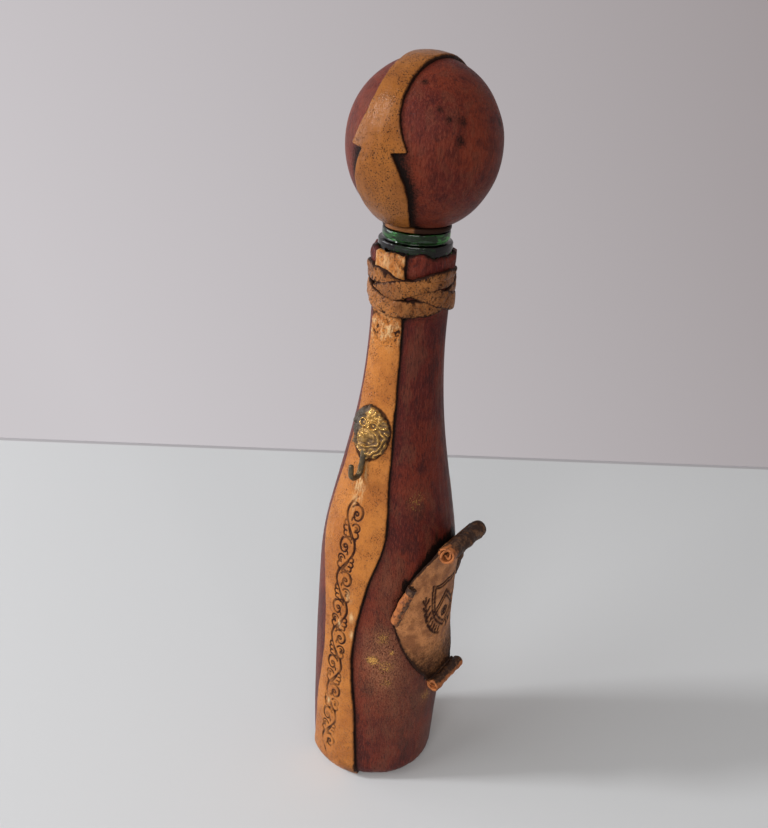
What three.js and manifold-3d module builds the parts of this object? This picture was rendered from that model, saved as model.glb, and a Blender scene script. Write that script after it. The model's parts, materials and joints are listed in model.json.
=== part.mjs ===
// Leather-wrapped decanter with a ball stopper: a green glass bottle in a maroon leather wrap, with tan
// strips over its seams, a plaited ring round the neck, a scroll plaque, and a brass lion mask with a hook.
// Millimetres, +Z up. The origin is the centre of the base. The plaque faces -Y and the mask faces -X.
import * as THREE from 'three';
import { mergeVertices } from 'three/addons/utils/BufferGeometryUtils.js';
import loadManifold from 'manifold-3d';

const wasm = await loadManifold();
wasm.setup();

const DEGREE = Math.PI / 180;

// Gap that seated pieces keep, and the leathers
const GAP = 0.3;
const WRAP_THICKNESS = 1.6;
const STRIP_THICKNESS = 1.4;
const SOLE_STAND = 0.4; // how far the sole stands below the wrap

// Glass bottle: heights run from one level to the next, from the foot up to the lip
const FOOT_RADIUS = 29.3;
const HEEL_RADIUS = 6.1;
const BELLY_RADIUS = 31.2;
const BELLY_RISE = 80; // the swell of the body above the heel
const BODY_HEIGHT = 116;
const SHOULDER_HEIGHT = 126;
const SHOULDER_EASE = 35; // pull of the shoulder curve at the body
const NECK_EASE = 64; // pull of the shoulder curve at the neck
const NECK_RADIUS = 15.4;
const NECK_HEIGHT = 21;
const RING_PROUD = 1.0;
const RING_EASE = 4;
const RING_HEIGHT = 14.3;
const GROOVE_HEIGHT = 0.9;
const GROOVE_DEPTH = 0.9;
const LIP_HEIGHT = 4.0;
const LIP_INSET = 0.5; // the lip is this much slimmer than the neck
const GLASS_ROUND = 0.8; // small rounded edges of the finish
const GLASS_WALL = 3.0;
const GLASS_FLOOR = 5.0;
const PUNT_HEIGHT = 8;
const PUNT_RADIUS = 19;
const BORE_RADIUS = 9.6;
const WRAP_BELOW_RING_TOP = 3.7; // the wrap stops here, so the glass ring shows

// Tan strips: half width at shares of the wrap's height, and how far the strip leans round the bottle
const LEFT_SEAM = -90 * DEGREE;
const RIGHT_SEAM = 90 * DEGREE;
const STRIP_SHARES = [0, 0.145, 0.304, 0.431, 0.515, 0.623, 0.761, 1];
const STRIP_HALF_WIDTHS = [16.2, 13.3, 9.2, 14.0, 18.7, 14.2, 10.1, 8.0];
const STRIP_LEAN = 0.026 * DEGREE; // per millimetre of height
const STRIP_UPRIGHT_HEIGHT = 100; // the strip's middle is on its seam at this height
const STRIP_FOOT_ANGLE = -54 * DEGREE; // where it ends on the round of the heel

// Plaited neck ring: three thongs, each a tilted loop that goes over one and under the next
const THONG_COUNT = 3;
const THONG_WIDTH = 4.7;
const THONG_THICKNESS = 1.2;
const THONG_CROSSING = 26.86 * DEGREE; // half the angle over which two thongs lie on each other
const BRAID_OVER_RING = 3.63; // how far the plait reaches up over the swell of the glass ring
const BRAID_TURN = 4 * DEGREE; // where the first thong is highest
const BRAID_RAMP = 24 * DEGREE; // the thongs climb onto the strips over this angle

// Scroll plaque: a stiff leather sheet that keeps to the belly and rolls outwards at four edges
const PLAQUE_AZIMUTH = 8 * DEGREE;
const PLAQUE_THICKNESS = 1.2;
const PLAQUE_DROP = 55.3; // the sheet starts this far below the shoulder
const PLAQUE_HEIGHT = 79;
const PLAQUE_SIDE_RISE = 41; // lower end of the side rolls above the start of the sheet
const PLAQUE_SIDE_HEIGHT = 19;
const PLAQUE_FOOT_WIDTH = 16; // where the sheet meets the bottom roll
const PLAQUE_WIDEST = 61; // at the lower end of the side rolls
const PLAQUE_SHOULDER_WIDTH = 48; // at their upper end
const PLAQUE_HEAD_WIDTH = 20; // where the sheet meets the top roll
const PLAQUE_LOW_BOW = 15; // swell of the edges below the side rolls
const PLAQUE_HIGH_BOW = 2; // swell of the edges above them
const PLAQUE_LIFT = 2.0; // how far the top and bottom edges lift off the belly
const TOP_ROLL_RADIUS = 4.4;
const TOP_ROLL_LENGTH = 33;
const BOTTOM_ROLL_RADIUS = 3.7;
const BOTTOM_ROLL_LENGTH = 25;
const SIDE_ROLL_RADIUS = 2.5;
const ROLL_AIR = 0.4; // between two turns of a roll
const ROLL_EYE = 0.2; // left open at the middle of a roll
const ROLL_LEAD = 2.0; // how far a roll runs back into the sheet
const ROLL_SET = 0.2; // how far a roll sits proud of the inside of the sheet

// Lion mask and its hook
const MASK_BELOW_NECK = 51.8; // middle of the mask below the foot of the neck
const MASK_WIDTH = 20.5;
const MASK_HEIGHT = 26;
const MASK_RIM = 1.2;
const MASK_CROWN = 2.6;
const MASK_LOCKS = 18; // mane locks round the rim
const MASK_BLUNT = 0.25; // the crown and the chin end in a short flat instead of a point
const HOOK_WIRE = 2.4;
const HOOK_BEND_RADIUS = 3.5;
const HOOK_SHANK = 9.5; // from its end behind the mask to the start of the bend
const HOOK_TIP = 4.5;
const HOOK_TURN = 168 * DEGREE;
const HOOK_UNDER_MASK = 5; // how far the shank runs up behind the mask

// Stopper
const CORK_IN_NECK = 24;
const CORK_IN_BALL = 20;
const CORK_CHAMFER = 1.2;
const WASHER_THICKNESS = 2.2;
const WASHER_RADIUS = 15.1;
const CORE_RADIUS = 31.2;
const CORE_HALF_HEIGHT = 33.7;
const BALL_SEAT = 32.1; // middle of the ball above its flat underside
const CORE_SEAT = 30.2; // middle of the ball above the flat of the wooden core
const BALL_LEATHER = 1.6;
const BALL_STRIP = 1.5;
const STOPPER_TURN = 4 * DEGREE; // how far the stopper is turned in the neck
const CROWN_HOLE = 4 * DEGREE; // the leather halves stop short of the crown, under the strip

// Ball strip: half width as an angle, from the crown down to the barb, then from the notch to the foot
const BARB_POLAR = [0, 46, 60, 74, 88];
const BARB_HALF_ANGLE = [12.5, 11.2, 12.4, 16.6, 23.4];
const NOTCH_POLAR = [91, 100, 110, 122, 135, 148];
const NOTCH_HALF_ANGLE = [12.6, 17.6, 21.2, 21.6, 18.8, 13.8];

// Facets
const ROUND_SEGMENTS = 28;
const BALL_SEGMENTS = 24;
const ROW_STEP = 17;
const INSIDE_STEP = 26;
const FINE_STEP = 0.5; // for reading the outline at a height
const SMALL_CURVE = 2; // a curve shorter than this is only chamfered
const STRIP_COLUMNS = 6;
const BARB_ROWS = 8;
const NOTCH_ROWS = 6;
const BALL_ROWS = 12;
const THONG_STEPS = [4, 7, 3, 7, 4]; // from its highest point over the upper and the lower crossing
const RISE_STEPS = 12;
const PLAQUE_ROWS = 14;
const PLAQUE_COLUMNS = 10;
const ROLL_STEPS = 16; // in one turn
const MASK_ROWS = 18;
const MASK_COLUMNS = 14;
const HOOK_STEPS = 8;
const WIRE_SIDES = 8;

// Levels that follow from the sizes above
const soleThickness = WRAP_THICKNESS + SOLE_STAND;
const footZ = soleThickness + GAP;
const shoulderZ = footZ + BODY_HEIGHT;
const neckZ = shoulderZ + SHOULDER_HEIGHT;
const ringZ = neckZ + NECK_HEIGHT;
const ringTop = ringZ + RING_HEIGHT;
const lipTop = ringTop + GROOVE_HEIGHT + LIP_HEIGHT;
const wrapTop = ringTop - WRAP_BELOW_RING_TOP;
const maskZ = neckZ - MASK_BELOW_NECK;
const plaqueBottom = shoulderZ - PLAQUE_DROP;
const plaqueTop = plaqueBottom + PLAQUE_HEIGHT;
const plaqueSideBottom = plaqueBottom + PLAQUE_SIDE_RISE;
const plaqueSideTop = plaqueSideBottom + PLAQUE_SIDE_HEIGHT;
const ringRadius = NECK_RADIUS + RING_PROUD;
const lipRadius = NECK_RADIUS - LIP_INSET;
const footFlat = FOOT_RADIUS - HEEL_RADIUS;
const wrapOuter = GAP + WRAP_THICKNESS;
const stripOuter = wrapOuter + GAP + STRIP_THICKNESS;
const corkRadius = BORE_RADIUS - GAP;
const washerTop = lipTop + GAP + WASHER_THICKNESS;
const ballFlat = washerTop + GAP;
const ballZ = ballFlat + BALL_SEAT;

// Materials
const matte = (color, roughness) => new THREE.MeshStandardMaterial({ color, roughness, metalness: 0 });
const maroonLeather = matte(0x4a1418, 0.4);
const tanLeather = matte(0xb08a55, 0.5);
const braidLeather = matte(0x9a7440, 0.5);
const plaqueLeather = matte(0xa88350, 0.5);
const soleLeather = matte(0x5a3a24, 0.8);
const wood = matte(0xa67c4e, 0.7);
const cork = matte(0xc49a6a, 0.9);
const brass = new THREE.MeshStandardMaterial({ color: 0x9a7a3c, roughness: 0.35, metalness: 1 });
const glass = new THREE.MeshStandardMaterial({
  color: 0x3c6b2c, roughness: 0.08, metalness: 0, transparent: true, opacity: 0.5,
});

// Unit vector out from the axis: azimuth 0 is -Y, and it grows towards +X
const outward = (azimuth) => new THREE.Vector3(Math.sin(azimuth), -Math.cos(azimuth), 0);

const blend = (edge0, edge1, x) => THREE.MathUtils.smoothstep(x, edge0, edge1);

const bump = (x, y, sizeX, sizeY) => Math.exp(-((x / sizeX) ** 2) - (y / sizeY) ** 2);

function curveOf(stations, values) {
  const curve = new THREE.CubicInterpolant(stations, values, 1);
  return (x) => curve.evaluate(x)[0];
}

// Closed solid between an inner grid of points (side 0) and an outer one (side 1).
// Rows run upwards and columns run to the right, seen from outside.
function slab(rows, columns, point) {
  const positions = [];
  const index = [];
  const border = [];
  const at = (i, j, side) => (side * (rows + 1) + i) * (columns + 1) + j;
  const quad = (a, b, c, d) => index.push(a, b, c, a, c, d);
  for (const side of [0, 1]) {
    for (let i = 0; i <= rows; i++) {
      for (let j = 0; j <= columns; j++) positions.push(...point(i, j, side));
    }
  }
  for (let i = 0; i < rows; i++) {
    for (let j = 0; j < columns; j++) {
      quad(at(i, j, 1), at(i, j + 1, 1), at(i + 1, j + 1, 1), at(i + 1, j, 1));
      quad(at(i, j, 0), at(i + 1, j, 0), at(i + 1, j + 1, 0), at(i, j + 1, 0));
    }
  }
  for (let j = 0; j < columns; j++) border.push([0, j]);
  for (let i = 0; i < rows; i++) border.push([i, columns]);
  for (let j = columns; j > 0; j--) border.push([rows, j]);
  for (let i = rows; i > 0; i--) border.push([i, 0]);
  border.forEach(([i, j], k) => {
    const [nextI, nextJ] = border[(k + 1) % border.length];
    quad(at(i, j, 0), at(nextI, nextJ, 0), at(nextI, nextJ, 1), at(i, j, 1));
  });
  return indexed(positions, index);
}

// Closed ring swept through sections that all have the same number of corners
function ringOf(sections) {
  const corners = sections[0].length;
  const positions = sections.flat().flatMap((corner) => corner.toArray());
  const index = [];
  for (let k = 0; k < sections.length; k++) {
    const next = (k + 1) % sections.length;
    for (let c = 0; c < corners; c++) {
      const after = (c + 1) % corners;
      const [a, b] = [k * corners + c, next * corners + c];
      const [d, e] = [k * corners + after, next * corners + after];
      index.push(a, b, e, a, e, d);
    }
  }
  return indexed(positions, index);
}

function indexed(positions, index) {
  const geometry = new THREE.BufferGeometry();
  geometry.setAttribute('position', new THREE.Float32BufferAttribute(positions, 3));
  geometry.setIndex(index);
  return geometry;
}

const revolve = (points, segments) => new THREE.LatheGeometry(points, segments).rotateX(Math.PI / 2);

const point2 = (radius, z) => new THREE.Vector2(radius, z);

function solidOf(geometry) {
  const bare = geometry.clone();
  bare.deleteAttribute('normal');
  bare.deleteAttribute('uv');
  const merged = mergeVertices(bare);
  return new wasm.Manifold(new wasm.Mesh({
    numProp: 3,
    vertProperties: merged.attributes.position.array,
    triVerts: Uint32Array.from(merged.index.array),
  }));
}

function geometryOf(solid) {
  const mesh = solid.getMesh();
  return indexed(Array.from(mesh.vertProperties), Array.from(mesh.triVerts));
}

// Outside of the glass from the heel to the top of its ring
function glassOutline(heelStart) {
  const heelTop = footZ + HEEL_RADIUS;
  const ringMiddle = ringZ + RING_EASE / 2;
  const path = new THREE.Path();
  path.absarc(footFlat, heelTop, HEEL_RADIUS, heelStart, 0);
  path.quadraticCurveTo(BELLY_RADIUS, heelTop + BELLY_RISE / 2, BELLY_RADIUS, heelTop + BELLY_RISE);
  path.lineTo(BELLY_RADIUS, shoulderZ);
  path.bezierCurveTo(
    BELLY_RADIUS, shoulderZ + SHOULDER_EASE, NECK_RADIUS, neckZ - NECK_EASE, NECK_RADIUS, neckZ,
  );
  path.lineTo(NECK_RADIUS, ringZ);
  path.bezierCurveTo(NECK_RADIUS, ringMiddle, ringRadius, ringMiddle, ringRadius, ringZ + RING_EASE);
  path.lineTo(ringRadius, wrapTop);
  return path;
}

// Rows of points up a path, each with the normal that points away from the axis
function rowsAlong(path, step, lineStep = Infinity) {
  const rows = [];
  path.curves.forEach((curve, number) => {
    const length = curve.getLength();
    const fewest = curve.isLineCurve ? 1 : (length < SMALL_CURVE ? 2 : 3);
    const count = Math.max(fewest, Math.round(length / (curve.isLineCurve ? lineStep : step)));
    for (let k = number === 0 ? 0 : 1; k <= count; k++) {
      const point = curve.getPoint(k / count);
      const along = curve.getTangent(k / count);
      rows.push({ radius: point.x, z: point.y, normal: point2(along.y, -along.x) });
    }
  });
  return rows;
}

const fineRows = rowsAlong(glassOutline(-Math.PI / 2), FINE_STEP, FINE_STEP);

// Row of the glass at a height
function glassAt(z) {
  const found = fineRows.findIndex((row) => row.z >= z);
  const above = found < 0 ? fineRows.length - 1 : Math.max(1, found);
  const [low, high] = [fineRows[above - 1], fineRows[above]];
  const share = THREE.MathUtils.clamp((z - low.z) / (high.z - low.z), 0, 1);
  const normal = low.normal.clone().lerp(high.normal, share).normalize();
  return { radius: THREE.MathUtils.lerp(low.radius, high.radius, share), z, normal };
}

// Point at an azimuth, lifted off a row of the glass along its normal
function lifted(row, azimuth, lift) {
  const point = outward(azimuth).multiplyScalar(row.radius + row.normal.x * lift);
  point.z = row.z + row.normal.y * lift;
  return point;
}

// Glass bottle
function glassBottle() {
  const outside = new THREE.Path();
  outside.moveTo(0, footZ + PUNT_HEIGHT);
  outside.quadraticCurveTo(PUNT_RADIUS / 2, footZ + PUNT_HEIGHT, PUNT_RADIUS, footZ);
  outside.lineTo(footFlat, footZ);

  const grooveRadius = lipRadius - GROOVE_DEPTH;
  const lipZ = ringTop + GROOVE_HEIGHT;
  const finish = new THREE.Path();
  finish.moveTo(ringRadius, ringTop - GLASS_ROUND);
  finish.absarc(ringRadius - GLASS_ROUND, ringTop - GLASS_ROUND, GLASS_ROUND, 0, Math.PI / 2);
  finish.lineTo(grooveRadius, ringTop);
  finish.lineTo(grooveRadius, lipZ);
  finish.absarc(lipRadius - GLASS_ROUND, lipZ + GLASS_ROUND, GLASS_ROUND, -Math.PI / 2, 0);
  finish.absarc(lipRadius - GLASS_ROUND, lipTop - GLASS_ROUND, GLASS_ROUND, 0, Math.PI / 2);
  finish.absarc(BORE_RADIUS + GLASS_ROUND, lipTop - GLASS_ROUND, GLASS_ROUND, Math.PI / 2, Math.PI);

  const insideRadius = BELLY_RADIUS - GLASS_WALL;
  const floorZ = footZ + GLASS_FLOOR;
  const inside = new THREE.Path();
  inside.moveTo(BORE_RADIUS, lipTop - GLASS_ROUND);
  inside.lineTo(BORE_RADIUS, neckZ);
  inside.bezierCurveTo(
    BORE_RADIUS, neckZ - NECK_EASE, insideRadius, shoulderZ + SHOULDER_EASE, insideRadius, shoulderZ,
  );
  inside.lineTo(FOOT_RADIUS - GLASS_WALL, floorZ + HEEL_RADIUS);
  inside.quadraticCurveTo(FOOT_RADIUS - GLASS_WALL, floorZ, footFlat - GLASS_WALL, floorZ);
  inside.quadraticCurveTo(PUNT_RADIUS / 2, floorZ + PUNT_HEIGHT, 0, floorZ + PUNT_HEIGHT);

  const outsidePaths = [outside, glassOutline(-Math.PI / 2), finish];
  const outsideRows = outsidePaths.flatMap((path) => rowsAlong(path, ROW_STEP));
  const rows = [...outsideRows, ...rowsAlong(inside, INSIDE_STEP)];
  const points = rows.map((row) => point2(row.radius, row.z));
  const distinct = points.filter((point, k) => k === 0 || point.distanceTo(points[k - 1]) > 1e-6);
  return revolve(distinct, ROUND_SEGMENTS);
}

// One half of the maroon wrap, between the seams at two azimuths
function wrapHalf(startAzimuth) {
  const rows = rowsAlong(glassOutline(-Math.PI / 2), ROW_STEP);
  const columns = ROUND_SEGMENTS / 2;
  return slab(rows.length - 1, columns, (i, j, side) => {
    const row = rows[i];
    const seam = Math.asin(GAP / 2 / row.radius);
    const azimuth = startAzimuth + seam + (j / columns) * (Math.PI - 2 * seam);
    return lifted(row, azimuth, side ? wrapOuter : GAP);
  });
}

// Tan strip over a seam
const stripHalfWidth = curveOf(STRIP_SHARES.map((share) => share * wrapTop), STRIP_HALF_WIDTHS);
const stripMiddle = (seamAzimuth, z) => seamAzimuth + STRIP_LEAN * (z - STRIP_UPRIGHT_HEIGHT);

function seamStrip(seamAzimuth) {
  const rows = rowsAlong(glassOutline(STRIP_FOOT_ANGLE), ROW_STEP, ROW_STEP);
  return slab(rows.length - 1, STRIP_COLUMNS, (i, j, side) => {
    const row = rows[i];
    const half = stripHalfWidth(row.z) / (row.radius + stripOuter);
    const azimuth = stripMiddle(seamAzimuth, row.z) + half * (2 * j / STRIP_COLUMNS - 1);
    return lifted(row, azimuth, side ? stripOuter : wrapOuter + GAP);
  });
}

// Share of the strips' thickness that a thong climbs at an azimuth and height
function climb(azimuth, z) {
  const half = stripHalfWidth(z) / (glassAt(z).radius + stripOuter);
  const away = [LEFT_SEAM, RIGHT_SEAM].map((seam) => {
    const turn = azimuth - stripMiddle(seam, z);
    return Math.abs(Math.atan2(Math.sin(turn), Math.cos(turn)));
  });
  const clear = half + BRAID_RAMP / 4;
  return 1 - blend(clear, clear + BRAID_RAMP, Math.min(...away));
}

// How far a thong rises and falls on a neck of some radius, so that two thongs part where they should.
// A steeper thong is wider along the neck, so the rise is found by coming closer to it in steps.
function thongRise(radius) {
  let rise = THONG_WIDTH;
  for (let step = 0; step < RISE_STEPS; step++) {
    const steepest = Math.atan(rise / radius);
    const shear = THONG_WIDTH / 2 * Math.sin(steepest) / radius;
    const parted = 2 * Math.sin(Math.PI / 3) * Math.sin(THONG_CROSSING - shear);
    rise = THONG_WIDTH / Math.cos(steepest) / parted;
  }
  return rise;
}

// One thong of the plait. Its phase runs from its highest point; it is below at a sixth of a turn and at
// two thirds, and on top at a third and at five sixths.
function braidThong(number) {
  const radius = NECK_RADIUS + wrapOuter;
  const rise = thongRise(radius);
  const middleZ = ringZ + BRAID_OVER_RING - THONG_WIDTH / 2 - rise;
  const below = Math.PI / 3;
  const top = 2 * Math.PI / 3;
  const stops = [
    0, below - THONG_CROSSING, below + THONG_CROSSING, top - THONG_CROSSING, top + THONG_CROSSING, Math.PI,
  ];
  const phases = [];
  for (const half of [0, Math.PI]) {
    THONG_STEPS.forEach((count, k) => {
      const step = (stops[k + 1] - stops[k]) / count;
      for (let n = 0; n < count; n++) phases.push(half + stops[k] + n * step);
    });
  }
  const level = (phase) => {
    const x = phase % Math.PI;
    if (x > below) return blend(stops[2], stops[3], x) - blend(stops[4], Math.PI + stops[1], x);
    return 1 - blend(stops[4] - Math.PI, stops[1], x);
  };
  const sections = phases.map((phase) => {
    const azimuth = phase + BRAID_TURN + number * 2 * Math.PI / THONG_COUNT;
    const slope = Math.atan2(-rise * Math.sin(phase), radius);
    const low = GAP + level(phase) * (THONG_THICKNESS + GAP);
    const corner = (across, lift) => {
      const z = middleZ + rise * Math.cos(phase) + across * Math.cos(slope);
      const turned = azimuth - across * Math.sin(slope) / radius;
      const onStrip = climb(turned, z) * (STRIP_THICKNESS + GAP);
      return lifted(glassAt(z), turned, wrapOuter + onStrip + low + lift);
    };
    const half = THONG_WIDTH / 2;
    return [
      corner(-half, 0), corner(-half, THONG_THICKNESS), corner(half, THONG_THICKNESS), corner(half, 0),
    ];
  });
  return ringOf(sections);
}

// Scroll plaque: lateral place u, height z and lift off its inner face
const plaqueMiddle = (plaqueBottom + plaqueTop) / 2;

function plaqueFrame(u, z) {
  const away = Math.min(1, Math.abs(z - plaqueMiddle) / (PLAQUE_HEIGHT / 2)) ** 4;
  const centre = BELLY_RADIUS + wrapOuter + GAP;
  const bend = Math.max(1e-6, (1 - away) / centre);
  const front = outward(PLAQUE_AZIMUTH);
  const side = outward(PLAQUE_AZIMUTH + Math.PI / 2);
  const normal = outward(PLAQUE_AZIMUTH + bend * u);
  const reach = centre + PLAQUE_LIFT * away - (1 - Math.cos(bend * u)) / bend;
  const point = front.clone().multiplyScalar(reach);
  point.addScaledVector(side, Math.sin(bend * u) / bend);
  point.z = z;
  return { point, normal };
}

// Section of a rolled edge: a lead along the sheet, then a spiral that curls outwards
function rollSection(radius) {
  const pitch = PLAQUE_THICKNESS + ROLL_AIR;
  const turns = (radius - PLAQUE_THICKNESS - ROLL_EYE) / pitch;
  const steps = Math.round(turns * ROLL_STEPS);
  const outer = [point2(-ROLL_LEAD, ROLL_SET)];
  const inner = [point2(-ROLL_LEAD, ROLL_SET + PLAQUE_THICKNESS)];
  for (let k = 0; k <= steps; k++) {
    const turn = turns * k / steps;
    const angle = 2 * Math.PI * turn - Math.PI / 2;
    const reach = radius - pitch * turn;
    const ray = point2(Math.cos(angle), Math.sin(angle));
    const centre = point2(-ROLL_LEAD / 2, ROLL_SET + radius);
    outer.push(centre.clone().addScaledVector(ray, reach));
    inner.push(centre.clone().addScaledVector(ray, reach - PLAQUE_THICKNESS));
  }
  return new THREE.Shape([...outer, ...inner.reverse()]);
}

// Roll whose sheet runs along edge, with the outside of the sheet along normal
function plaqueRoll(radius, length, { point, normal }, edge) {
  const geometry = new THREE.ExtrudeGeometry(rollSection(radius), { depth: length, bevelEnabled: false });
  const axis = edge.clone().cross(normal);
  geometry.translate(0, 0, -length / 2);
  geometry.applyMatrix4(new THREE.Matrix4().makeBasis(edge, normal, axis).setPosition(point));
  return solidOf(geometry);
}

// Roll along the slanted edge at one side, from its lower place to its upper one
function sideRoll(lowU, highU) {
  const low = plaqueFrame(lowU, plaqueSideBottom);
  const high = plaqueFrame(highU, plaqueSideTop);
  const along = high.point.clone().sub(low.point);
  const length = along.length();
  const edge = along.normalize().clone().cross(low.normal.clone().add(high.normal)).normalize();
  edge.multiplyScalar(Math.sign(lowU));
  const normal = edge.clone().cross(along).multiplyScalar(Math.sign(lowU));
  return plaqueRoll(SIDE_ROLL_RADIUS, length, { point: low.point.lerp(high.point, 0.5), normal }, edge);
}

function scrollPlaque() {
  const widest = PLAQUE_WIDEST / 2;
  const shoulder = PLAQUE_SHOULDER_WIDTH / 2;
  const foot = PLAQUE_FOOT_WIDTH / 2;
  const head = PLAQUE_HEAD_WIDTH / 2;
  const lowBowZ = (plaqueBottom + plaqueSideBottom) / 2 - PLAQUE_LOW_BOW / 2;
  const highBowZ = (plaqueSideTop + plaqueTop) / 2 + PLAQUE_HIGH_BOW;
  const edge = new THREE.Path();
  edge.moveTo(foot, plaqueBottom);
  edge.quadraticCurveTo(foot + PLAQUE_LOW_BOW, lowBowZ, widest, plaqueSideBottom);
  edge.lineTo(shoulder, plaqueSideTop);
  edge.quadraticCurveTo((shoulder + head) / 2 + PLAQUE_HIGH_BOW, highBowZ, head, plaqueTop);
  const rows = edge.getSpacedPoints(PLAQUE_ROWS);
  const sheet = slab(PLAQUE_ROWS, PLAQUE_COLUMNS, (i, j, side) => {
    const { point, normal } = plaqueFrame(rows[i].x * (2 * j / PLAQUE_COLUMNS - 1), rows[i].y);
    return point.addScaledVector(normal, side * PLAQUE_THICKNESS);
  });
  const up = new THREE.Vector3(0, 0, 1);
  const down = up.clone().negate();
  const rolls = [
    plaqueRoll(TOP_ROLL_RADIUS, TOP_ROLL_LENGTH, plaqueFrame(0, plaqueTop), up),
    plaqueRoll(BOTTOM_ROLL_RADIUS, BOTTOM_ROLL_LENGTH, plaqueFrame(0, plaqueBottom), down),
    ...[-1, 1].map((side) => sideRoll(side * widest, side * shoulder)),
  ];
  return geometryOf(rolls.reduce((whole, roll) => whole.add(roll), solidOf(sheet)));
}

// Lion mask: a relief over an oval, bent to the strip that carries it
const maskAzimuth = stripMiddle(LEFT_SEAM, maskZ);

// Height of the relief at u across and v up from the middle of the mask
function maskRelief(u, v) {
  const across = u / (MASK_WIDTH / 2);
  const up = v / (MASK_HEIGHT / 2);
  const edge = Math.min(1, Math.hypot(across, up));
  const pair = (x, y, sizeX, sizeY) => bump(Math.abs(across) - x, up - y, sizeX, sizeY);
  const single = (y, sizeX, sizeY) => bump(across, up - y, sizeX, sizeY);
  const locks = Math.cos(MASK_LOCKS * Math.atan2(across, up)) * blend(0.55, 0.8, edge);
  const nose = 1.0 * single(0.22, 0.1, 0.3) + 1.2 * single(-0.1, 0.17, 0.12);
  const muzzle = 1.8 * single(-0.26, 0.36, 0.17);
  const jaw = 1.5 * single(-0.66, 0.26, 0.12) - 1.0 * single(-0.47, 0.3, 0.06);
  const brows = 1.3 * single(0.52, 0.34, 0.14) - 1.4 * pair(0.27, 0.26, 0.13, 0.1);
  const cheeks = 0.9 * pair(0.52, -0.02, 0.16, 0.2);
  const dome = MASK_RIM + MASK_CROWN * (1 - edge ** 2);
  return dome + 0.45 * locks + nose + muzzle + jaw + brows + cheeks;
}

function lionMask() {
  const relief = slab(MASK_ROWS, MASK_COLUMNS, (i, j, side) => {
    const up = Math.sin((i / MASK_ROWS - 0.5) * Math.PI);
    const half = Math.max(MASK_BLUNT, Math.sqrt(1 - up ** 2)) * MASK_WIDTH / 2;
    const u = half * Math.sin((j / MASK_COLUMNS - 0.5) * Math.PI);
    const v = up * MASK_HEIGHT / 2;
    return maskPoint(u, v, side ? maskRelief(u, v) : 0);
  });
  return geometryOf(solidOf(relief).subtract(solidOf(hookTube(HOOK_WIRE / 2 + GAP))));
}

function maskPoint(u, v, lift) {
  const row = glassAt(maskZ + v);
  return lifted(row, maskAzimuth + u / (row.radius + stripOuter), stripOuter + GAP + lift);
}

// Wire of the hook: down the strip from behind the mask, round a bend and up to a free tip
function hookTube(radius) {
  const wireLift = HOOK_WIRE / 2;
  const chin = -MASK_HEIGHT / 2;
  const start = maskPoint(0, chin + HOOK_UNDER_MASK, wireLift);
  const below = maskPoint(0, chin + HOOK_UNDER_MASK - HOOK_SHANK, wireLift);
  const along = below.clone().sub(start).normalize();
  const out = outward(maskAzimuth);
  out.addScaledVector(along, -out.dot(along)).normalize();
  const centre = below.clone().addScaledVector(out, HOOK_BEND_RADIUS);
  const bend = (angle) => centre.clone()
    .addScaledVector(out, -HOOK_BEND_RADIUS * Math.cos(angle))
    .addScaledVector(along, HOOK_BEND_RADIUS * Math.sin(angle));
  const points = [start, start.clone().lerp(below, 0.5)];
  for (let k = 0; k <= HOOK_STEPS; k++) points.push(bend(HOOK_TURN * k / HOOK_STEPS));
  const rising = along.clone().multiplyScalar(Math.cos(HOOK_TURN));
  rising.addScaledVector(out, Math.sin(HOOK_TURN));
  points.push(bend(HOOK_TURN).addScaledVector(rising, HOOK_TIP));
  const section = new THREE.Shape().absarc(0, 0, radius, 0, 2 * Math.PI);
  return new THREE.ExtrudeGeometry(section, {
    extrudePath: new THREE.CatmullRomCurve3(points),
    steps: 2 * points.length,
    curveSegments: WIRE_SIDES / 2,
  });
}

function sole() {
  const radius = footFlat - GAP;
  const rounded = WRAP_THICKNESS / 2;
  return revolve([
    point2(0, 0), point2(radius - rounded, 0), point2(radius, rounded), point2(radius, soleThickness),
    point2(0, soleThickness),
  ], ROUND_SEGMENTS);
}

// Point of the ball at a direction on the unit sphere, lifted off the wooden core
function ballPoint(direction, lift) {
  const round = CORE_RADIUS + lift;
  const point = direction.clone().multiply(new THREE.Vector3(round, round, CORE_HALF_HEIGHT + lift));
  return point.setZ(point.z + ballZ);
}

const ballLeatherOuter = GAP + BALL_LEATHER;
const ballStripInner = ballLeatherOuter + GAP;

function stopperCore() {
  const socketRadius = corkRadius + GAP;
  const socketTop = ballFlat + CORK_IN_BALL + GAP;
  const flat = ballZ - CORE_SEAT;
  const rim = Math.acos(-CORE_SEAT / CORE_HALF_HEIGHT);
  const points = [point2(0, socketTop), point2(socketRadius, socketTop), point2(socketRadius, flat)];
  for (let k = 0; k <= BALL_ROWS; k++) {
    const polar = rim * (1 - k / BALL_ROWS);
    points.push(point2(CORE_RADIUS * Math.sin(polar), ballZ + CORE_HALF_HEIGHT * Math.cos(polar)));
  }
  return revolve(points, BALL_SEGMENTS);
}

// One leather half of the ball, between the seams at two azimuths
function ballHalf(startAzimuth) {
  const lowest = Math.acos(-BALL_SEAT / (CORE_HALF_HEIGHT + ballLeatherOuter));
  const columns = BALL_SEGMENTS / 2;
  return slab(BALL_ROWS, columns, (i, j, side) => {
    const polar = THREE.MathUtils.lerp(lowest, CROWN_HOLE, i / BALL_ROWS);
    const seam = Math.asin(GAP / 2 / (CORE_RADIUS * Math.sin(polar)));
    const azimuth = startAzimuth + seam + (j / columns) * (Math.PI - 2 * seam);
    const direction = outward(azimuth).multiplyScalar(Math.sin(polar)).setZ(Math.cos(polar));
    return ballPoint(direction, side ? ballLeatherOuter : GAP);
  });
}

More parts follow.
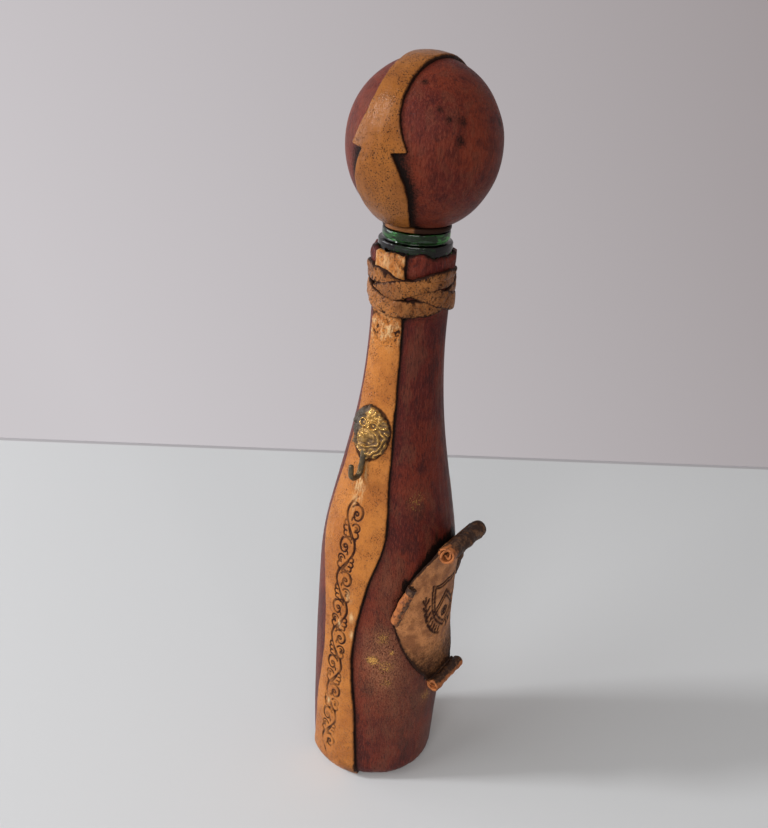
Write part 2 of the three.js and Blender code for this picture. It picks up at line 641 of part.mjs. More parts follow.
// Tan strip over the ball, from one side over the crown to the other
function ballStrip() {
  const stretch = (polars, halves, count) => {
    const half = curveOf(polars, halves);
    const [first, last] = [polars[0], polars[polars.length - 1]];
    return Array.from({ length: count + 1 }, (_, k) => {
      const polar = THREE.MathUtils.lerp(first, last, k / count);
      return { polar: polar * DEGREE, half: half(polar) * DEGREE };
    });
  };
  const barb = stretch(BARB_POLAR, BARB_HALF_ANGLE, BARB_ROWS);
  const notch = stretch(NOTCH_POLAR, NOTCH_HALF_ANGLE, NOTCH_ROWS);
  const down = [...barb, ...notch];
  const up = down.slice(1).reverse().map(({ polar, half }) => ({ polar: -polar, half }));
  const rows = [...up, ...down];
  return slab(rows.length - 1, STRIP_COLUMNS, (i, j, side) => {
    const { polar, half } = rows[i];
    const across = half * (2 * j / STRIP_COLUMNS - 1);
    const direction = new THREE.Vector3(
      Math.sin(polar) * Math.cos(across), -Math.sin(across), Math.cos(polar) * Math.cos(across),
    );
    return ballPoint(direction, side ? ballStripInner + BALL_STRIP : ballStripInner);
  });
}

function stopperWasher() {
  const inner = corkRadius + GAP;
  const low = lipTop + GAP;
  const rounded = WASHER_THICKNESS / 4;
  return revolve([
    point2(inner, low), point2(WASHER_RADIUS - rounded, low), point2(WASHER_RADIUS, low + rounded),
    point2(WASHER_RADIUS, washerTop - rounded), point2(WASHER_RADIUS - rounded, washerTop),
    point2(inner, washerTop), point2(inner, low),
  ], ROUND_SEGMENTS);
}

function stopperCork() {
  const bottom = lipTop - CORK_IN_NECK;
  const top = ballFlat + CORK_IN_BALL;
  return revolve([
    point2(0, bottom), point2(corkRadius - CORK_CHAMFER, bottom), point2(corkRadius, bottom + CORK_CHAMFER),
    point2(corkRadius, top), point2(0, top),
  ], ROUND_SEGMENTS);
}

function piece(name, geometry, material) {
  const mesh = new THREE.Mesh(geometry, material);
  mesh.name = name;
  return mesh;
}

const bottle = new THREE.Group();
bottle.add(
  piece('glass_bottle', glassBottle(), glass),
  piece('sole', sole(), soleLeather),
  piece('front_wrap', wrapHalf(LEFT_SEAM), maroonLeather),
  piece('back_wrap', wrapHalf(RIGHT_SEAM), maroonLeather),
  piece('left_strip', seamStrip(LEFT_SEAM), tanLeather),
  piece('right_strip', seamStrip(RIGHT_SEAM), tanLeather),
  piece('scroll_plaque', scrollPlaque(), plaqueLeather),
  piece('lion_mask', lionMask(), brass),
  piece('cup_hook', hookTube(HOOK_WIRE / 2), brass),
);
for (let number = 0; number < THONG_COUNT; number++) {
  bottle.add(piece(`neck_braid_${number + 1}`, braidThong(number), braidLeather));
}

const stopper = new THREE.Group();
stopper.rotation.z = STOPPER_TURN;
stopper.add(
  piece('stopper_core', stopperCore(), wood),
  piece('stopper_cork', stopperCork(), cork),
  piece('stopper_washer', stopperWasher(), soleLeather),
  piece('stopper_front_leather', ballHalf(LEFT_SEAM), maroonLeather),
  piece('stopper_back_leather', ballHalf(RIGHT_SEAM), maroonLeather),
  piece('stopper_strip', ballStrip(), tanLeather),
);

const decanter = new THREE.Group();
decanter.add(bottle, stopper);

export default decanter;
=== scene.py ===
# Looks of the leather-wrapped decanter, built round its solids. Sizes are in millimetres up to the meshes.
import json
import math

import bmesh
import bpy
import numpy as np
from mathutils import Matrix, Vector
from mathutils.kdtree import KDTree


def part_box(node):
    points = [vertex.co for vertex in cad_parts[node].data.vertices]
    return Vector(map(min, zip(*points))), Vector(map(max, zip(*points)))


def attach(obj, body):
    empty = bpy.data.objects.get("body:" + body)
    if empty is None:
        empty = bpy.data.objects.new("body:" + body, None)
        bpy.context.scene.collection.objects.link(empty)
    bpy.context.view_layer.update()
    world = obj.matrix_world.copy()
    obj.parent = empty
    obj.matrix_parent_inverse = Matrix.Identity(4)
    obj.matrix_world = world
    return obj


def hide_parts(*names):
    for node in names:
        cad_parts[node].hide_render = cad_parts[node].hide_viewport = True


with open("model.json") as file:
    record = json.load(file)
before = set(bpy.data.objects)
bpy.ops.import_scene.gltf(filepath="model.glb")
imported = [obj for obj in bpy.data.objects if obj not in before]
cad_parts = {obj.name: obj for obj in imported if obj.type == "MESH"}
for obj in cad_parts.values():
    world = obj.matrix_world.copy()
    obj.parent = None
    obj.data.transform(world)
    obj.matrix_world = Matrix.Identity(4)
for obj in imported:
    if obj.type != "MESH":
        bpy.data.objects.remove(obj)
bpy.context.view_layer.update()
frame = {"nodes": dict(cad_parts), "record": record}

MM = 0.001
TURN = 2 * math.pi
DEGREE = TURN / 360

# Camera fitted to the photograph, its place in metres
CAMERA_PLACE = (-0.3380, -0.2594, 0.3867)
CAMERA_YAW = -51.48 * DEGREE
CAMERA_PITCH = 24.26 * DEGREE
CAMERA_ROLL = 4.67 * DEGREE
CAMERA_LENS = 43.34
SENSOR = 36.0

# Where the pieces reach, from the solids
BELLY_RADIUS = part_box("glass_bottle")[1].x / MM
FOOT_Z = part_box("glass_bottle")[0].z / MM
LIP_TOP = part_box("glass_bottle")[1].z / MM
WRAP_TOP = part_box("front_wrap")[1].z / MM
WRAP_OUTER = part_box("front_wrap")[1].x / MM - BELLY_RADIUS
STRIP_OUTER = -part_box("left_strip")[0].x / MM - BELLY_RADIUS
SOLE_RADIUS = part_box("sole")[1].x / MM
SOLE_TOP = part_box("sole")[1].z / MM
BALL_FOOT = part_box("stopper_front_leather")[0].z / MM
BALL_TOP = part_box("stopper_strip")[1].z / MM
CORK_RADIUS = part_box("stopper_cork")[1].x / MM
CORK_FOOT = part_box("stopper_cork")[0].z / MM
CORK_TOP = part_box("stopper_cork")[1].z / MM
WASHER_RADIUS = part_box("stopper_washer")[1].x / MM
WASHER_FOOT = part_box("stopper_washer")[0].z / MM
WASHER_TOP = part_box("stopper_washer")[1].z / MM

# Outline of the glass, as in the solids
GAP = 0.3
FOOT_RADIUS = 29.3
HEEL_RADIUS = 6.1
BELLY_RISE = 80
SHOULDER_Z = FOOT_Z + 116
SHOULDER_EASE = 35
NECK_Z = SHOULDER_Z + 126
NECK_EASE = 64
NECK_RADIUS = 15.4
RING_Z = NECK_Z + 21
RING_EASE = 4
RING_RADIUS = NECK_RADIUS + 1
RING_TOP = RING_Z + 14.3
GROOVE_HEIGHT = 0.9
GROOVE_DEPTH = 0.9
LIP_RADIUS = NECK_RADIUS - 0.5
GLASS_ROUND = 0.8
GLASS_WALL = 3.0
GLASS_FLOOR = 5.0
PUNT_HEIGHT = 8
PUNT_RADIUS = 19
BORE_RADIUS = 9.6

# Wear of the wrap. Worn places: across, height, half width, half height, strength
WORN_AZIMUTH = -49 * DEGREE
WORN_PLACES = [(0, 78, 10, 21, 1.1), (14, 48, 17, 28, 0.4), (0, 122, 8, 16, 0.3)]
# Gold that is left on it: degrees round, height, size, strength
GOLD_PLACES = [(-57.6, 78.1, 5.2, 1.2), (-50.1, 91.2, 7.5, 0.75), (-45.5, 74.5, 8.0, 0.75),
               (-44.2, 64.7, 6.0, 0.7), (-41.6, 83.0, 2.6, 1.2), (-1.7, 49.4, 9.0, 0.75),
               (-28.2, 162.8, 9.0, 0.6)]
# Fold at the top of the wrap, beside the left strip
FOLD_ASIDE = 11.5
FOLD_DROP = 4.5

# Tan strips
LEFT_SEAM = -90 * DEGREE
RIGHT_SEAM = 90 * DEGREE
STRIP_SHARES = [0, 0.145, 0.304, 0.431, 0.515, 0.623, 0.761, 1]
STRIP_HALF_WIDTHS = [16.2, 13.3, 9.2, 14.0, 18.7, 14.2, 10.1, 8.0]
STRIP_LEAN = 0.026 * DEGREE
STRIP_UPRIGHT_Z = 100
STRIP_FOOT_Z = FOOT_Z + HEEL_RADIUS * (1 - math.sin(54 * DEGREE))

# Vine scroll pressed into the left strip
VINE_LOW = 10
VINE_HIGH = 162
VINE_CURLS = 9
VINE_SWING = 3.8
VINE_LINE = 0.45
VINE_DEPTH = 0.3
VINE_BAND = 5.8
VINE_ASIDE = 1.1
VINE_DRIFT = 3.6
VINE_FADE = (80, 20)
FINE_TOP = VINE_HIGH + 4
# Spots where that strip is rubbed pale: across, height, size
PALE_SPOTS = [(5.2, 111.8, 1.5), (1.2, 94.8, 1.1), (7.8, 100.7, 1.3), (8.6, 91, 1.0), (-2.4, 44.5, 1.0)]

# Plait
THONG_COUNT = 3
THONG_WIDTH = 8.2
THONG_THICKNESS = 1.25
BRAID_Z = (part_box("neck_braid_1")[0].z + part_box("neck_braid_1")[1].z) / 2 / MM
BRAID_RISE = 6.5
BRAID_TURN = 4 * DEGREE
BRAID_RAMP = 15 * DEGREE
# Heights under it where the wrap and the strips get painted shade, and where the strips are rucked
WRAP_SHADE_Z = BRAID_Z - 11
STRIP_SHADE_Z = BRAID_Z - 10.5
RUCKED_Z = BRAID_Z - 17

# Scroll plaque
PLAQUE_AZIMUTH = 8 * DEGREE
PLAQUE_THICKNESS = 1.2
PLAQUE_LOW = SHOULDER_Z - 55.3
PLAQUE_HIGH = PLAQUE_LOW + 79
PLAQUE_SIDE_LOW = PLAQUE_LOW + 41
PLAQUE_SIDE_HIGH = PLAQUE_SIDE_LOW + 19
PLAQUE_FOOT_HALF = 8
PLAQUE_WIDEST_HALF = 30.5
PLAQUE_SHOULDER_HALF = 24
PLAQUE_HEAD_HALF = 10
PLAQUE_LOW_BOW = 15
PLAQUE_HIGH_BOW = 2
PLAQUE_LIFT = 2.0
ROLL_AIR = 0.4
ROLL_EYE = 0.2
ROLL_LEAD = 2.0
TOP_ROLL = (4.6, 33)
BOTTOM_ROLL = (3.8, 25)
SIDE_ROLL_RADIUS = 3.1
SHIELD_Z = 106.5

# Lion mask and hook
MASK_Z = NECK_Z - 51.8
MASK_WIDTH = 20.5
MASK_HEIGHT = 26
EYES = [(2.9, 4.7), (-1.8, 5.3)]
EYE_RADIUS = 1.75
HOOK_WIRE = 2.4
HOOK_BEND_RADIUS = 3.5
HOOK_SHANK = 9.5
HOOK_TIP = 4.5
HOOK_TURN = 168 * DEGREE
HOOK_UNDER_MASK = 5

# Ball of the stopper
BALL_SEAT = 32.1
BALL_Z = BALL_FOOT + BALL_SEAT
BALL_RADIUS = 33.1
BALL_HALF_HEIGHT = 35.6
BALL_STRIP = BALL_TOP - BALL_Z - BALL_HALF_HEIGHT
STOPPER_TURN = 4 * DEGREE
BARB_POLAR = [0, 46, 60, 74, 87.5]
BARB_HALF_ANGLE = [12.5, 11.2, 12.4, 16.6, 23.4]
NOTCH_POLAR = [89.5, 100, 110, 122, 135, 150]
NOTCH_HALF_ANGLE = [12.6, 17.6, 21.2, 21.6, 18.8, 13.4]
# Dark blots on the ball: degrees from the crown, degrees round, size
BALL_BLOTS = [(60, -43, 1.6), (66, -36, 1.6), (67, -25, 2.2), (79, -27, 2.4), (41, -57, 1.5), (70, 20, 2.0),
              (100, 150, 2.2), (60, -160, 2.0)]
# Pores on the strip: degrees aside, degrees along, half width, half length, strength
BALL_PORES = [(8, -48, 5, 26, 0.9), (1, -98, 8, 14, 0.9), (4, -124, 9, 14, 0.8)]

# Edges of the small turned pieces
EDGE = 0.7
EDGE_NICK = 0.2
CORK_CHAMFER = 1.2

# Colours; pairs go from light to dark
# The sooty colours here and below paint sooty stains and also painted shade, beside raised edges, under the
# plait and round the plaque and the mask
SOOT_AND_SHADE = (0.010, 0.006, 0.005)
INK = (0.032, 0.012, 0.008)
GOLD = (0.72, 0.37, 0.10)
RED = np.array([0.1425, 0.0232, 0.0130])
RED_SPREAD = np.array([0.0425, 0.0078, 0.0010])
RED_STREAKS = ((0.132, 0.039, 0.022), (0.036, 0.0075, 0.0075))
RED_STROKES = ((0.27, 0.066, 0.038), (0.034, 0.007, 0.007))
RED_WORN = (0.330, 0.132, 0.064)
RED_CREASE = (0.034, 0.013, 0.010)
RED_SPECK = (0.022, 0.009, 0.008)
WRAP_TINT = (0.80, 0.70, 0.74)
BALL_TINT = (0.99, 1.02, 0.99)
STRIP_TAN = ((0.475, 0.172, 0.037), (0.365, 0.120, 0.027))
THONG_TAN = ((0.36, 0.130, 0.032), (0.20, 0.066, 0.019))
BALL_STRIP_TAN = ((0.305, 0.107, 0.021), (0.23, 0.076, 0.016))
WASHER_TAN = ((0.30, 0.112, 0.031), (0.22, 0.084, 0.026))
TAN_PORE = (0.030, 0.013, 0.008)
TAN_PALE = (0.66, 0.43, 0.21)
TAN_SOOT_AND_SHADE = (0.028, 0.012, 0.008)
PLAQUE_TAN = ((0.52, 0.215, 0.078), (0.27, 0.100, 0.036))
PLAQUE_SMUDGE = (0.12, 0.046, 0.020)
PLAQUE_SPECK = (0.085, 0.036, 0.018)
PLAQUE_SOOT_AND_SHADE = (0.030, 0.014, 0.009)
ROLL_ORANGE = ((0.40, 0.132, 0.040), (0.15, 0.048, 0.019))
ROLL_BROWN = ((0.150, 0.070, 0.034), (0.040, 0.019, 0.012))
MASK_BRASS = ((0.52, 0.300, 0.085), (0.105, 0.054, 0.022))
HOOK_BRASS = ((0.17, 0.12, 0.055), (0.030, 0.023, 0.016))
PATINA_AND_SHADE_BRASS = (0.070, 0.054, 0.038)
GREEN = (0.055, 0.27, 0.055)
SUEDE = ((0.16, 0.075, 0.036), (0.075, 0.034, 0.018))
CORK = ((0.50, 0.31, 0.15), (0.32, 0.17, 0.075))
WOOD = ((0.42, 0.25, 0.12), (0.30, 0.16, 0.07))

# Table and room, in metres
TABLE_NEAR = -0.75
TABLE_FAR = 0.35
TABLE_HALF = 0.52
TABLE_THICK = 0.03
TABLE_TURN = 5.5 * DEGREE
# The rim is a dark band painted along the table's far edge, a painted shade line
TABLE_RIM = (0.006, 0.004)
TABLE_TOP = (0.72, 0.73, 0.74)
TABLE_EDGE_SHADE = (0.50, 0.48, 0.50)
WALLS = ((0.60, 0.57, 0.59), (0.334, 0.300, 0.305))
WALL_SPAN = (-0.5, 0.36)
WALL_RISE = 0.55
ROOM_LIGHT = (0.98, 0.93, 0.90)
ROOM_STRENGTH = 0.21
DAYLIGHT = (0.97, 0.985, 1.0)
WARM_LIGHT = (1.0, 0.98, 0.96)
DOOR_LIGHT = (0.97, 0.95, 1.0)
LAMP_TARGET = Vector((0, 0, 0.18))
# Lamps: name, place, size, power, colour, and whether gloss mirrors them
LAMPS = [
    ("window", (-2.25, 1.26, 1.39), 1.9, 33.0, DAYLIGHT, False),
    ("pane", (-1.55, 1.44, 1.48), 0.31, 26.0, DAYLIGHT, True),
    ("fill", (-2.16, -1.35, 1.48), 1.6, 34.0, WARM_LIGHT, True),
    ("glint", (-0.90, -1.94, 0.81), 0.25, 2.4, WARM_LIGHT, True),
    ("doorway", (-0.76, 1.53, 0.40), 0.9, 8.4, DOOR_LIGHT, True),
]


# Numbers and noise
def smooth(low, high, x):
    """0 at low and 1 at high, smooth between and level beyond."""
    t = np.clip((x - low) / (high - low), 0, 1)
    return t * t * (3 - 2 * t)


def bump(x, y, size_x, size_y):
    """A soft hump that is 1 high in its middle."""
    return np.exp(-((x / size_x) ** 2) - (y / size_y) ** 2)


def fade(distance, reach):
    """1 at no distance, dying away over a reach."""
    return np.exp(-distance / reach)


def noise(x, y, seed):
    """Smooth noise from -1 to 1 with one cell per unit."""
    x, y = np.broadcast_arrays(np.asarray(x, float), np.asarray(y, float))
    column, row = np.floor(x), np.floor(y)
    u, v = smooth(0, 1, x - column), smooth(0, 1, y - row)

    def corner(right, up):
        mixed = np.sin((column + right) * 127.1 + (row + up) * 311.7 + seed * 74.7) * 43758.5
        return 2 * (mixed - np.floor(mixed)) - 1

    low = corner(0, 0) * (1 - u) + corner(1, 0) * u
    high = corner(0, 1) * (1 - u) + corner(1, 1) * u
    return low * (1 - v) + high * v


def ring_noise(turn, size, seed, x=0, y=0):
    """Noise round a ring, which meets itself after a turn; x and y move it aside."""
    return noise(size * np.cos(turn) + x, size * np.sin(turn) + y, seed)


def around(turn):
    """A difference of azimuths, brought between minus and plus half a turn."""
    return np.arctan2(np.sin(turn), np.cos(turn))


def edge_spaced(count):
    """Places from -1 to 1 that lie closer together towards both ends."""
    s = np.linspace(-1, 1, count)
    return 0.4 * s + 0.6 * np.sin(s * TURN / 4)


def rounded(distance, radius):
    """Share of the thickness that a rounded edge has at a distance from the border."""
    t = np.clip(distance / radius, 0, 1)
    return 0.12 + 0.88 * np.sqrt(1 - (1 - t) ** 2)


# Curves and points
def bezier(points, count):
    t = np.linspace(0, 1, count)[:, None]
    points = [np.array(point, float)[None, :] for point in points]
    while len(points) > 1:
        points = [(1 - t) * a + t * b for a, b in zip(points, points[1:])]
    return points[0]


def arc(x, y, radius, start, turns, inner=None, count=40):
    """Points of an arc, or of a spiral that ends at an inner radius."""
    t = np.linspace(0, 1, count)
    reach = radius + ((inner if inner is not None else radius) - radius) * t
    angle = start + TURN * turns * t
    return np.stack([x + reach * np.cos(angle), y + reach * np.sin(angle)], -1)


def hermite(stations, values, x):
    """Smooth curve through values at stations."""
    stations, values = np.array(stations, float), np.array(values, float)
    slopes = np.gradient(values, stations)
    k = np.clip(np.searchsorted(stations, x) - 1, 0, len(stations) - 2)
    span = stations[k + 1] - stations[k]
    t = np.clip((x - stations[k]) / span, 0, 1)
    start = (1 + 2 * t) * (1 - t) ** 2 * values[k] + t * (1 - t) ** 2 * span * slopes[k]
    end = t * t * (3 - 2 * t) * values[k + 1] - t * t * (1 - t) * span * slopes[k + 1]
    return start + end


def unit(vectors):
    return vectors / np.linalg.norm(vectors, axis=-1, keepdims=True)


def round_axis(azimuth, radius, z):
    """Points at azimuths, radii and heights."""
    return np.stack(np.broadcast_arrays(np.sin(azimuth) * radius, -np.cos(azimuth) * radius, z), -1)


def half_round(seam, rim, count):
    """Azimuths from a seam to the one opposite, less a rim at each."""
    return seam + rim + np.linspace(0, 1, count)[None, :] * (TURN / 2 - 2 * rim)


# The glass as a surface to build on
def glass_outline():
    heel_top = FOOT_Z + HEEL_RADIUS
    swell = heel_top + BELLY_RISE
    ring_middle = RING_Z + RING_EASE / 2
    curves = [
        [(FOOT_RADIUS, heel_top), (BELLY_RADIUS, heel_top + BELLY_RISE / 2), (BELLY_RADIUS, swell)],
        [(BELLY_RADIUS, swell), (BELLY_RADIUS, SHOULDER_Z)],
        [(BELLY_RADIUS, SHOULDER_Z), (BELLY_RADIUS, SHOULDER_Z + SHOULDER_EASE),
         (NECK_RADIUS, NECK_Z - NECK_EASE), (NECK_RADIUS, NECK_Z)],
        [(NECK_RADIUS, NECK_Z), (NECK_RADIUS, RING_Z)],
        [(NECK_RADIUS, RING_Z), (NECK_RADIUS, ring_middle), (RING_RADIUS, ring_middle),
         (RING_RADIUS, RING_Z + RING_EASE)],
        [(RING_RADIUS, RING_Z + RING_EASE), (RING_RADIUS, RING_TOP)],
    ]
    heel = arc(FOOT_RADIUS - HEEL_RADIUS, heel_top, HEEL_RADIUS, -TURN / 4, 0.25, count=14)
    return np.concatenate([heel] + [bezier(curve, 50)[1:] for curve in curves])


OUTLINE = glass_outline()
OUTLINE_ALONG = np.concatenate([[0], np.cumsum(np.linalg.norm(np.diff(OUTLINE, axis=0), axis=1))])
TANGENT = unit(np.gradient(OUTLINE, OUTLINE_ALONG, axis=0))
NORMAL = np.stack([TANGENT[:, 1], -TANGENT[:, 0]], -1)


def radius_at(z):
    return np.interp(z, OUTLINE[:, 1], OUTLINE[:, 0])


def on_glass(azimuth, z, lift):
    """Points at azimuths and heights on the glass, lifted along its normal."""
    out, up = [np.interp(z, OUTLINE[:, 1], share) * lift for share in NORMAL.T]
    return round_axis(azimuth, radius_at(z) + out, z + up)


def heights_along(low, high, step):
    """Heights at even steps along the outline of the glass, as a column."""
    first, last = np.interp([low, high], OUTLINE[:, 1], OUTLINE_ALONG)
    along = np.linspace(first, last, int((last - first) / step) + 1)
    return np.interp(along, OUTLINE_ALONG, OUTLINE[:, 1])[:, None]


def strip_half(z):
    return hermite(np.array(STRIP_SHARES) * WRAP_TOP, STRIP_HALF_WIDTHS, z)


def strip_middle(seam, z):
    return seam + STRIP_LEAN * (z - STRIP_UPRIGHT_Z)


def off_strips(azimuth, z):
    """Distance outside the edge of the nearer strip; less than 0 on a strip."""
    away = [np.abs(around(azimuth - strip_middle(seam, z))) for seam in (LEFT_SEAM, RIGHT_SEAM)]
    return np.minimum(*away) * (radius_at(z) + STRIP_OUTER) - strip_half(z)


# Meshes
def sheet(points):
    """A grid of points as a list, and its faces."""
    index = np.arange(points.shape[0] * points.shape[1]).reshape(points.shape[:2])
    faces = np.stack([index[:-1, :-1], index[:-1, 1:], index[1:, 1:], index[1:, :-1]], -1)
    return points.reshape(-1, 3), faces.reshape(-1, 4)


def slab(outer, inner, closed=False):
    """A solid between two grids; rows run up and columns run right, seen from outside."""
    points, front = sheet(outer)
    count = len(points)
    index = np.arange(count).reshape(outer.shape[:2])
    ways = [index[0], index[-1, ::-1]]
    if not closed:
        ways = [np.concatenate([index[0, :-1], index[:-1, -1], index[-1, :0:-1], index[::-1, 0]])]
    sides = [np.stack([way[:-1] + count, way[1:] + count, way[1:], way[:-1]], -1) for way in ways]
    points = np.concatenate([points, inner.reshape(-1, 3)])
    return points, np.concatenate([front, front[:, ::-1] + count, *sides])


def turned(outline, segments):
    """A closed outline turned about the axis."""
    outline = np.asarray(outline, float)
    return sheet(round_axis(np.linspace(0, TURN, segments + 1)[None, :], outline[:, :1], outline[:, 1:]))


def tube(path, radii, sides):
    """A round bar along a path; a radius of 0 closes an end."""
    along = unit(np.gradient(path, axis=0))
    side = unit(np.cross(along, np.cross(along[0], along[-1]) + (0, 0, 1e-3)))
    turn = np.linspace(0, TURN, sides + 1)[None, :, None]
    ring = side[:, None] * np.cos(turn) + np.cross(along, side)[:, None] * np.sin(turn)
    return sheet(path[:, None] + ring * radii[:, None, None])


def joined(solids):
    """Several solids as one."""
    starts = np.cumsum([0] + [len(points) for points, faces in solids])
    moved = [faces + start for (points, faces), start in zip(solids, starts)]
    return np.concatenate([points for points, faces in solids]), np.concatenate(moved)


def placed(name, data):
    """A new object in the scene."""
    made = bpy.data.objects.new(name, data)
    bpy.context.scene.collection.objects.link(made)
    return made


def piece(name, node, slot, solid, material, **marks):
    """A piece that stands for a solid, with numbers at its points that its material reads."""
    points, faces = solid
    mesh = bpy.data.meshes.new(name)
    mesh.from_pydata(points * MM, [], faces)
    for key, values in marks.items():
        values = np.ravel(values).astype(np.float32)
        if len(values) * 2 == len(points):
            values = np.tile(values, 2)
        mesh.attributes.new(key, "FLOAT", "POINT").data.foreach_set("value", values)
    form = bmesh.new()
    form.from_mesh(mesh)
    bmesh.ops.remove_doubles(form, verts=form.verts, dist=1e-7)
    bmesh.ops.dissolve_degenerate(form, edges=form.edges, dist=1e-8)
    bmesh.ops.recalc_face_normals(form, faces=form.faces)
    form.to_mesh(mesh)
    form.free()
    mesh.shade_smooth()
    mesh.materials.append(material)
    made = placed(name, mesh)
    body = next(body for body, nodes in frame["record"]["behaviour"]["bodies"].items() if node in nodes)
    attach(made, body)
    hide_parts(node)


# Shaders
class Field:
    """What a node puts out. Fields of numbers add up and multiply as numbers do."""

    def __init__(self, nodes, socket):
        self.nodes = nodes
        self.socket = socket

    def __add__(self, other):
        return self.nodes.math("ADD", self, other)

    def __sub__(self, other):
        return self.nodes.math("SUBTRACT", self, other)

    def __rsub__(self, other):
        return self.nodes.math("SUBTRACT", other, self)

    def __mul__(self, other):
        return self.nodes.math("MULTIPLY", self, other)

    def or_more(self, other):
        return self.nodes.math("MAXIMUM", self, other)

    def between(self, low, high):
        """0 at low and 1 at high, smooth between and level beyond."""
        if low > high:
            return 1.0 - self.between(high, low)
        return self.nodes.add("MapRange", "Result", interpolation_type="SMOOTHSTEP", Value=self,
                              From_Min=low, From_Max=high)

    def span(self, low, high):
        """Low where the field is 0 and high where it is 1."""
        return self.nodes.add("MapRange", "Result", Value=self, To_Min=low, To_Max=high)


class Nodes:
    """A tree of nodes, with short calls for those that are used here."""

    def __init__(self, owner):
        owner.use_nodes = True
        self.tree = owner.node_tree

    def put(self, socket, value):
        if isinstance(value, Field):
            self.tree.links.new(value.socket, socket)
        else:
            socket.default_value = (*value, 1) if socket.type == "RGBA" else value

    def add(self, kind, output, *inputs, **named):
        """An output of a new node. Names with a capital are its inputs, and the others are its settings."""
        node = self.tree.nodes.new("ShaderNode" + kind)
        for key, value in named.items():
            if key[0].isupper():
                self.put(node.inputs[key.replace("_", " ")], value)
            else:
                setattr(node, key, value)
        for socket, value in zip(node.inputs, inputs):
            self.put(socket, value)
        return Field(self, node.outputs[output])

    def math(self, operation, a, b):
        return self.add("Math", "Value", a, b, operation=operation)

    def vector(self, operation, output, a, b):
        return self.add("VectorMath", output, a, b, operation=operation)

    def mix(self, share, a, b):
        """One colour where the share is 0 and another where it is 1."""
        node = self.tree.nodes.new("ShaderNodeMix")
        node.data_type = "RGBA"
        for number, value in ((0, share), (6, a), (7, b)):
            self.put(node.inputs[number], value)
        return Field(self, node.outputs[2])


class Shader(Nodes):
    """A material that is painted and embossed in layers. Sizes are in millimetres."""

    def __init__(self, name):
        self.material = bpy.data.materials.new(name)
        super().__init__(self.material)
        self.place = self.add("TexCoord", "Object")
        self.colour = None
        self.normal = None

    def scaled(self, per_mm):
        """Places with this many cells per millimetre along each axis."""
        cells = np.broadcast_to(np.asarray(per_mm, float), 3) / MM
        return self.vector("MULTIPLY", "Vector", self.place, cells)

    def noise(self, per_mm, detail, roughness, distortion=0):
        return self.add("TexNoise", "Fac", Vector=self.scaled(per_mm), Scale=1, Detail=detail,
                        Roughness=roughness, Distortion=distortion)

    def cells(self, per_mm):
        return self.add("TexVoronoi", "Distance", Vector=self.scaled(per_mm), Scale=1)

    def mark(self, name):
        """Numbers that the piece has at its points, or 0 where it has none by that name."""
        return self.add("Attribute", "Fac", attribute_name=name)

    def ground(self, share, a, b):
        self.colour = self.mix(share, a, b)

    def paint(self, share, colour):
        """Lays a colour over what is there."""
        self.colour = self.mix(share, self.colour, colour)

    def emboss(self, height, depth):
        """Lays a relief over what is there."""
        under = {"Normal": self.normal} if self.normal else {}
        self.normal = self.add("Bump", "Normal", Height=height, Distance=depth * MM, **under)

    def finished(self, **inputs):
        """The material, with other inputs of its surface."""
        inputs["Base_Color"] = self.colour
        if self.normal:
            inputs["Normal"] = self.normal
        for key, value in inputs.items():
            self.put(self.tree.nodes["Principled BSDF"].inputs[key.replace("_", " ")], value)
        return self.material


def gilding(shader, places):
    """Share of gold left on the leather: flecks that close up towards some places."""
    shares = []
    for azimuth, z, size, strength in places:
        place = on_glass(azimuth * DEGREE, z, WRAP_OUTER) * MM
        away = shader.vector("DISTANCE", "Value", shader.place, place)
        shares.append(away.between(size * MM, 0.0) * strength)
    total = sum(shares[1:], shares[0])
    flecks = shader.noise(1.5, 5, 0.75) + total * 0.20
    return flecks.between(0.65, 0.69) * total.between(0.05, 0.4)


def maroon_leather(name, tint, contrast, streak, stroke, shine, gold=()):
    """Waxed dark red leather with brush marks running one way, sooty stains and painted shade in its edges,
    and brown where it is worn.

    Streak and stroke count the broad and fine marks of the brush per millimetre along x, y and z."""
    shader = Shader(name)
    streaks = shader.noise(streak, 5, 0.6, 0.3)
    strokes = shader.noise(stroke, 4, 0.65, 0.5)
    grain = shader.noise(1.3, 4, 0.6)
    spread = contrast * RED_SPREAD
    clouds = shader.noise(0.055, 4, 0.55).between(0.38, 0.64)
    shader.ground(clouds, tint * (RED - spread), tint * (RED + spread))
    for brush, start, end, share, colour in (
            (streaks, 0.50, 0.62, 0.65, RED_STREAKS[0]),
            (streaks, 0.48, 0.37, 0.70, RED_STREAKS[1]),
            (strokes, 0.50, 0.64, 0.44, np.multiply(tint, RED_STROKES[0])),
            (strokes, 0.48, 0.36, 0.72, RED_STROKES[1])):
        shader.paint(brush.between(start, end) * (contrast * share), colour)
    worn = shader.mark("rub")
    scuffs = shader.noise((1.5, 1.5, 0.9), 6, 0.85, 0.4)
    creased = worn * scuffs.between(0.45, 0.33)
    shader.paint(worn * scuffs.between(0.36, 0.66), RED_WORN)
    shader.paint(creased * 0.8, RED_CREASE)
    shader.paint(grain.between(0.62, 0.70) * 0.6, RED_SPECK)
    ragged = (grain - 0.5) + (strokes - 0.5)
    # Sooty stains and painted shade where the mark says: beside the strips and the plaque, under the plait
    # and below the ball's notch
    soot = (shader.mark("soot") + ragged * 0.9).between(0.2, 0.95)
    shader.paint(soot, SOOT_AND_SHADE)
    shader.emboss(shader.cells(1.5), 0.08)
    shader.emboss(grain, 0.28)
    shader.emboss(strokes, 0.26)
    shader.emboss(1.0 - creased, 0.35)
    metal = 0.0
    if gold:
        flecks = gilding(shader, gold)
        shader.paint(flecks, GOLD)
        shader.emboss(flecks, 0.25)
        metal = flecks * 0.4
    return shader.finished(Roughness=grain.span(0.28, 0.50), Metallic=metal,
                           Specular_IOR_Level=soot.span(shine, 0.05))


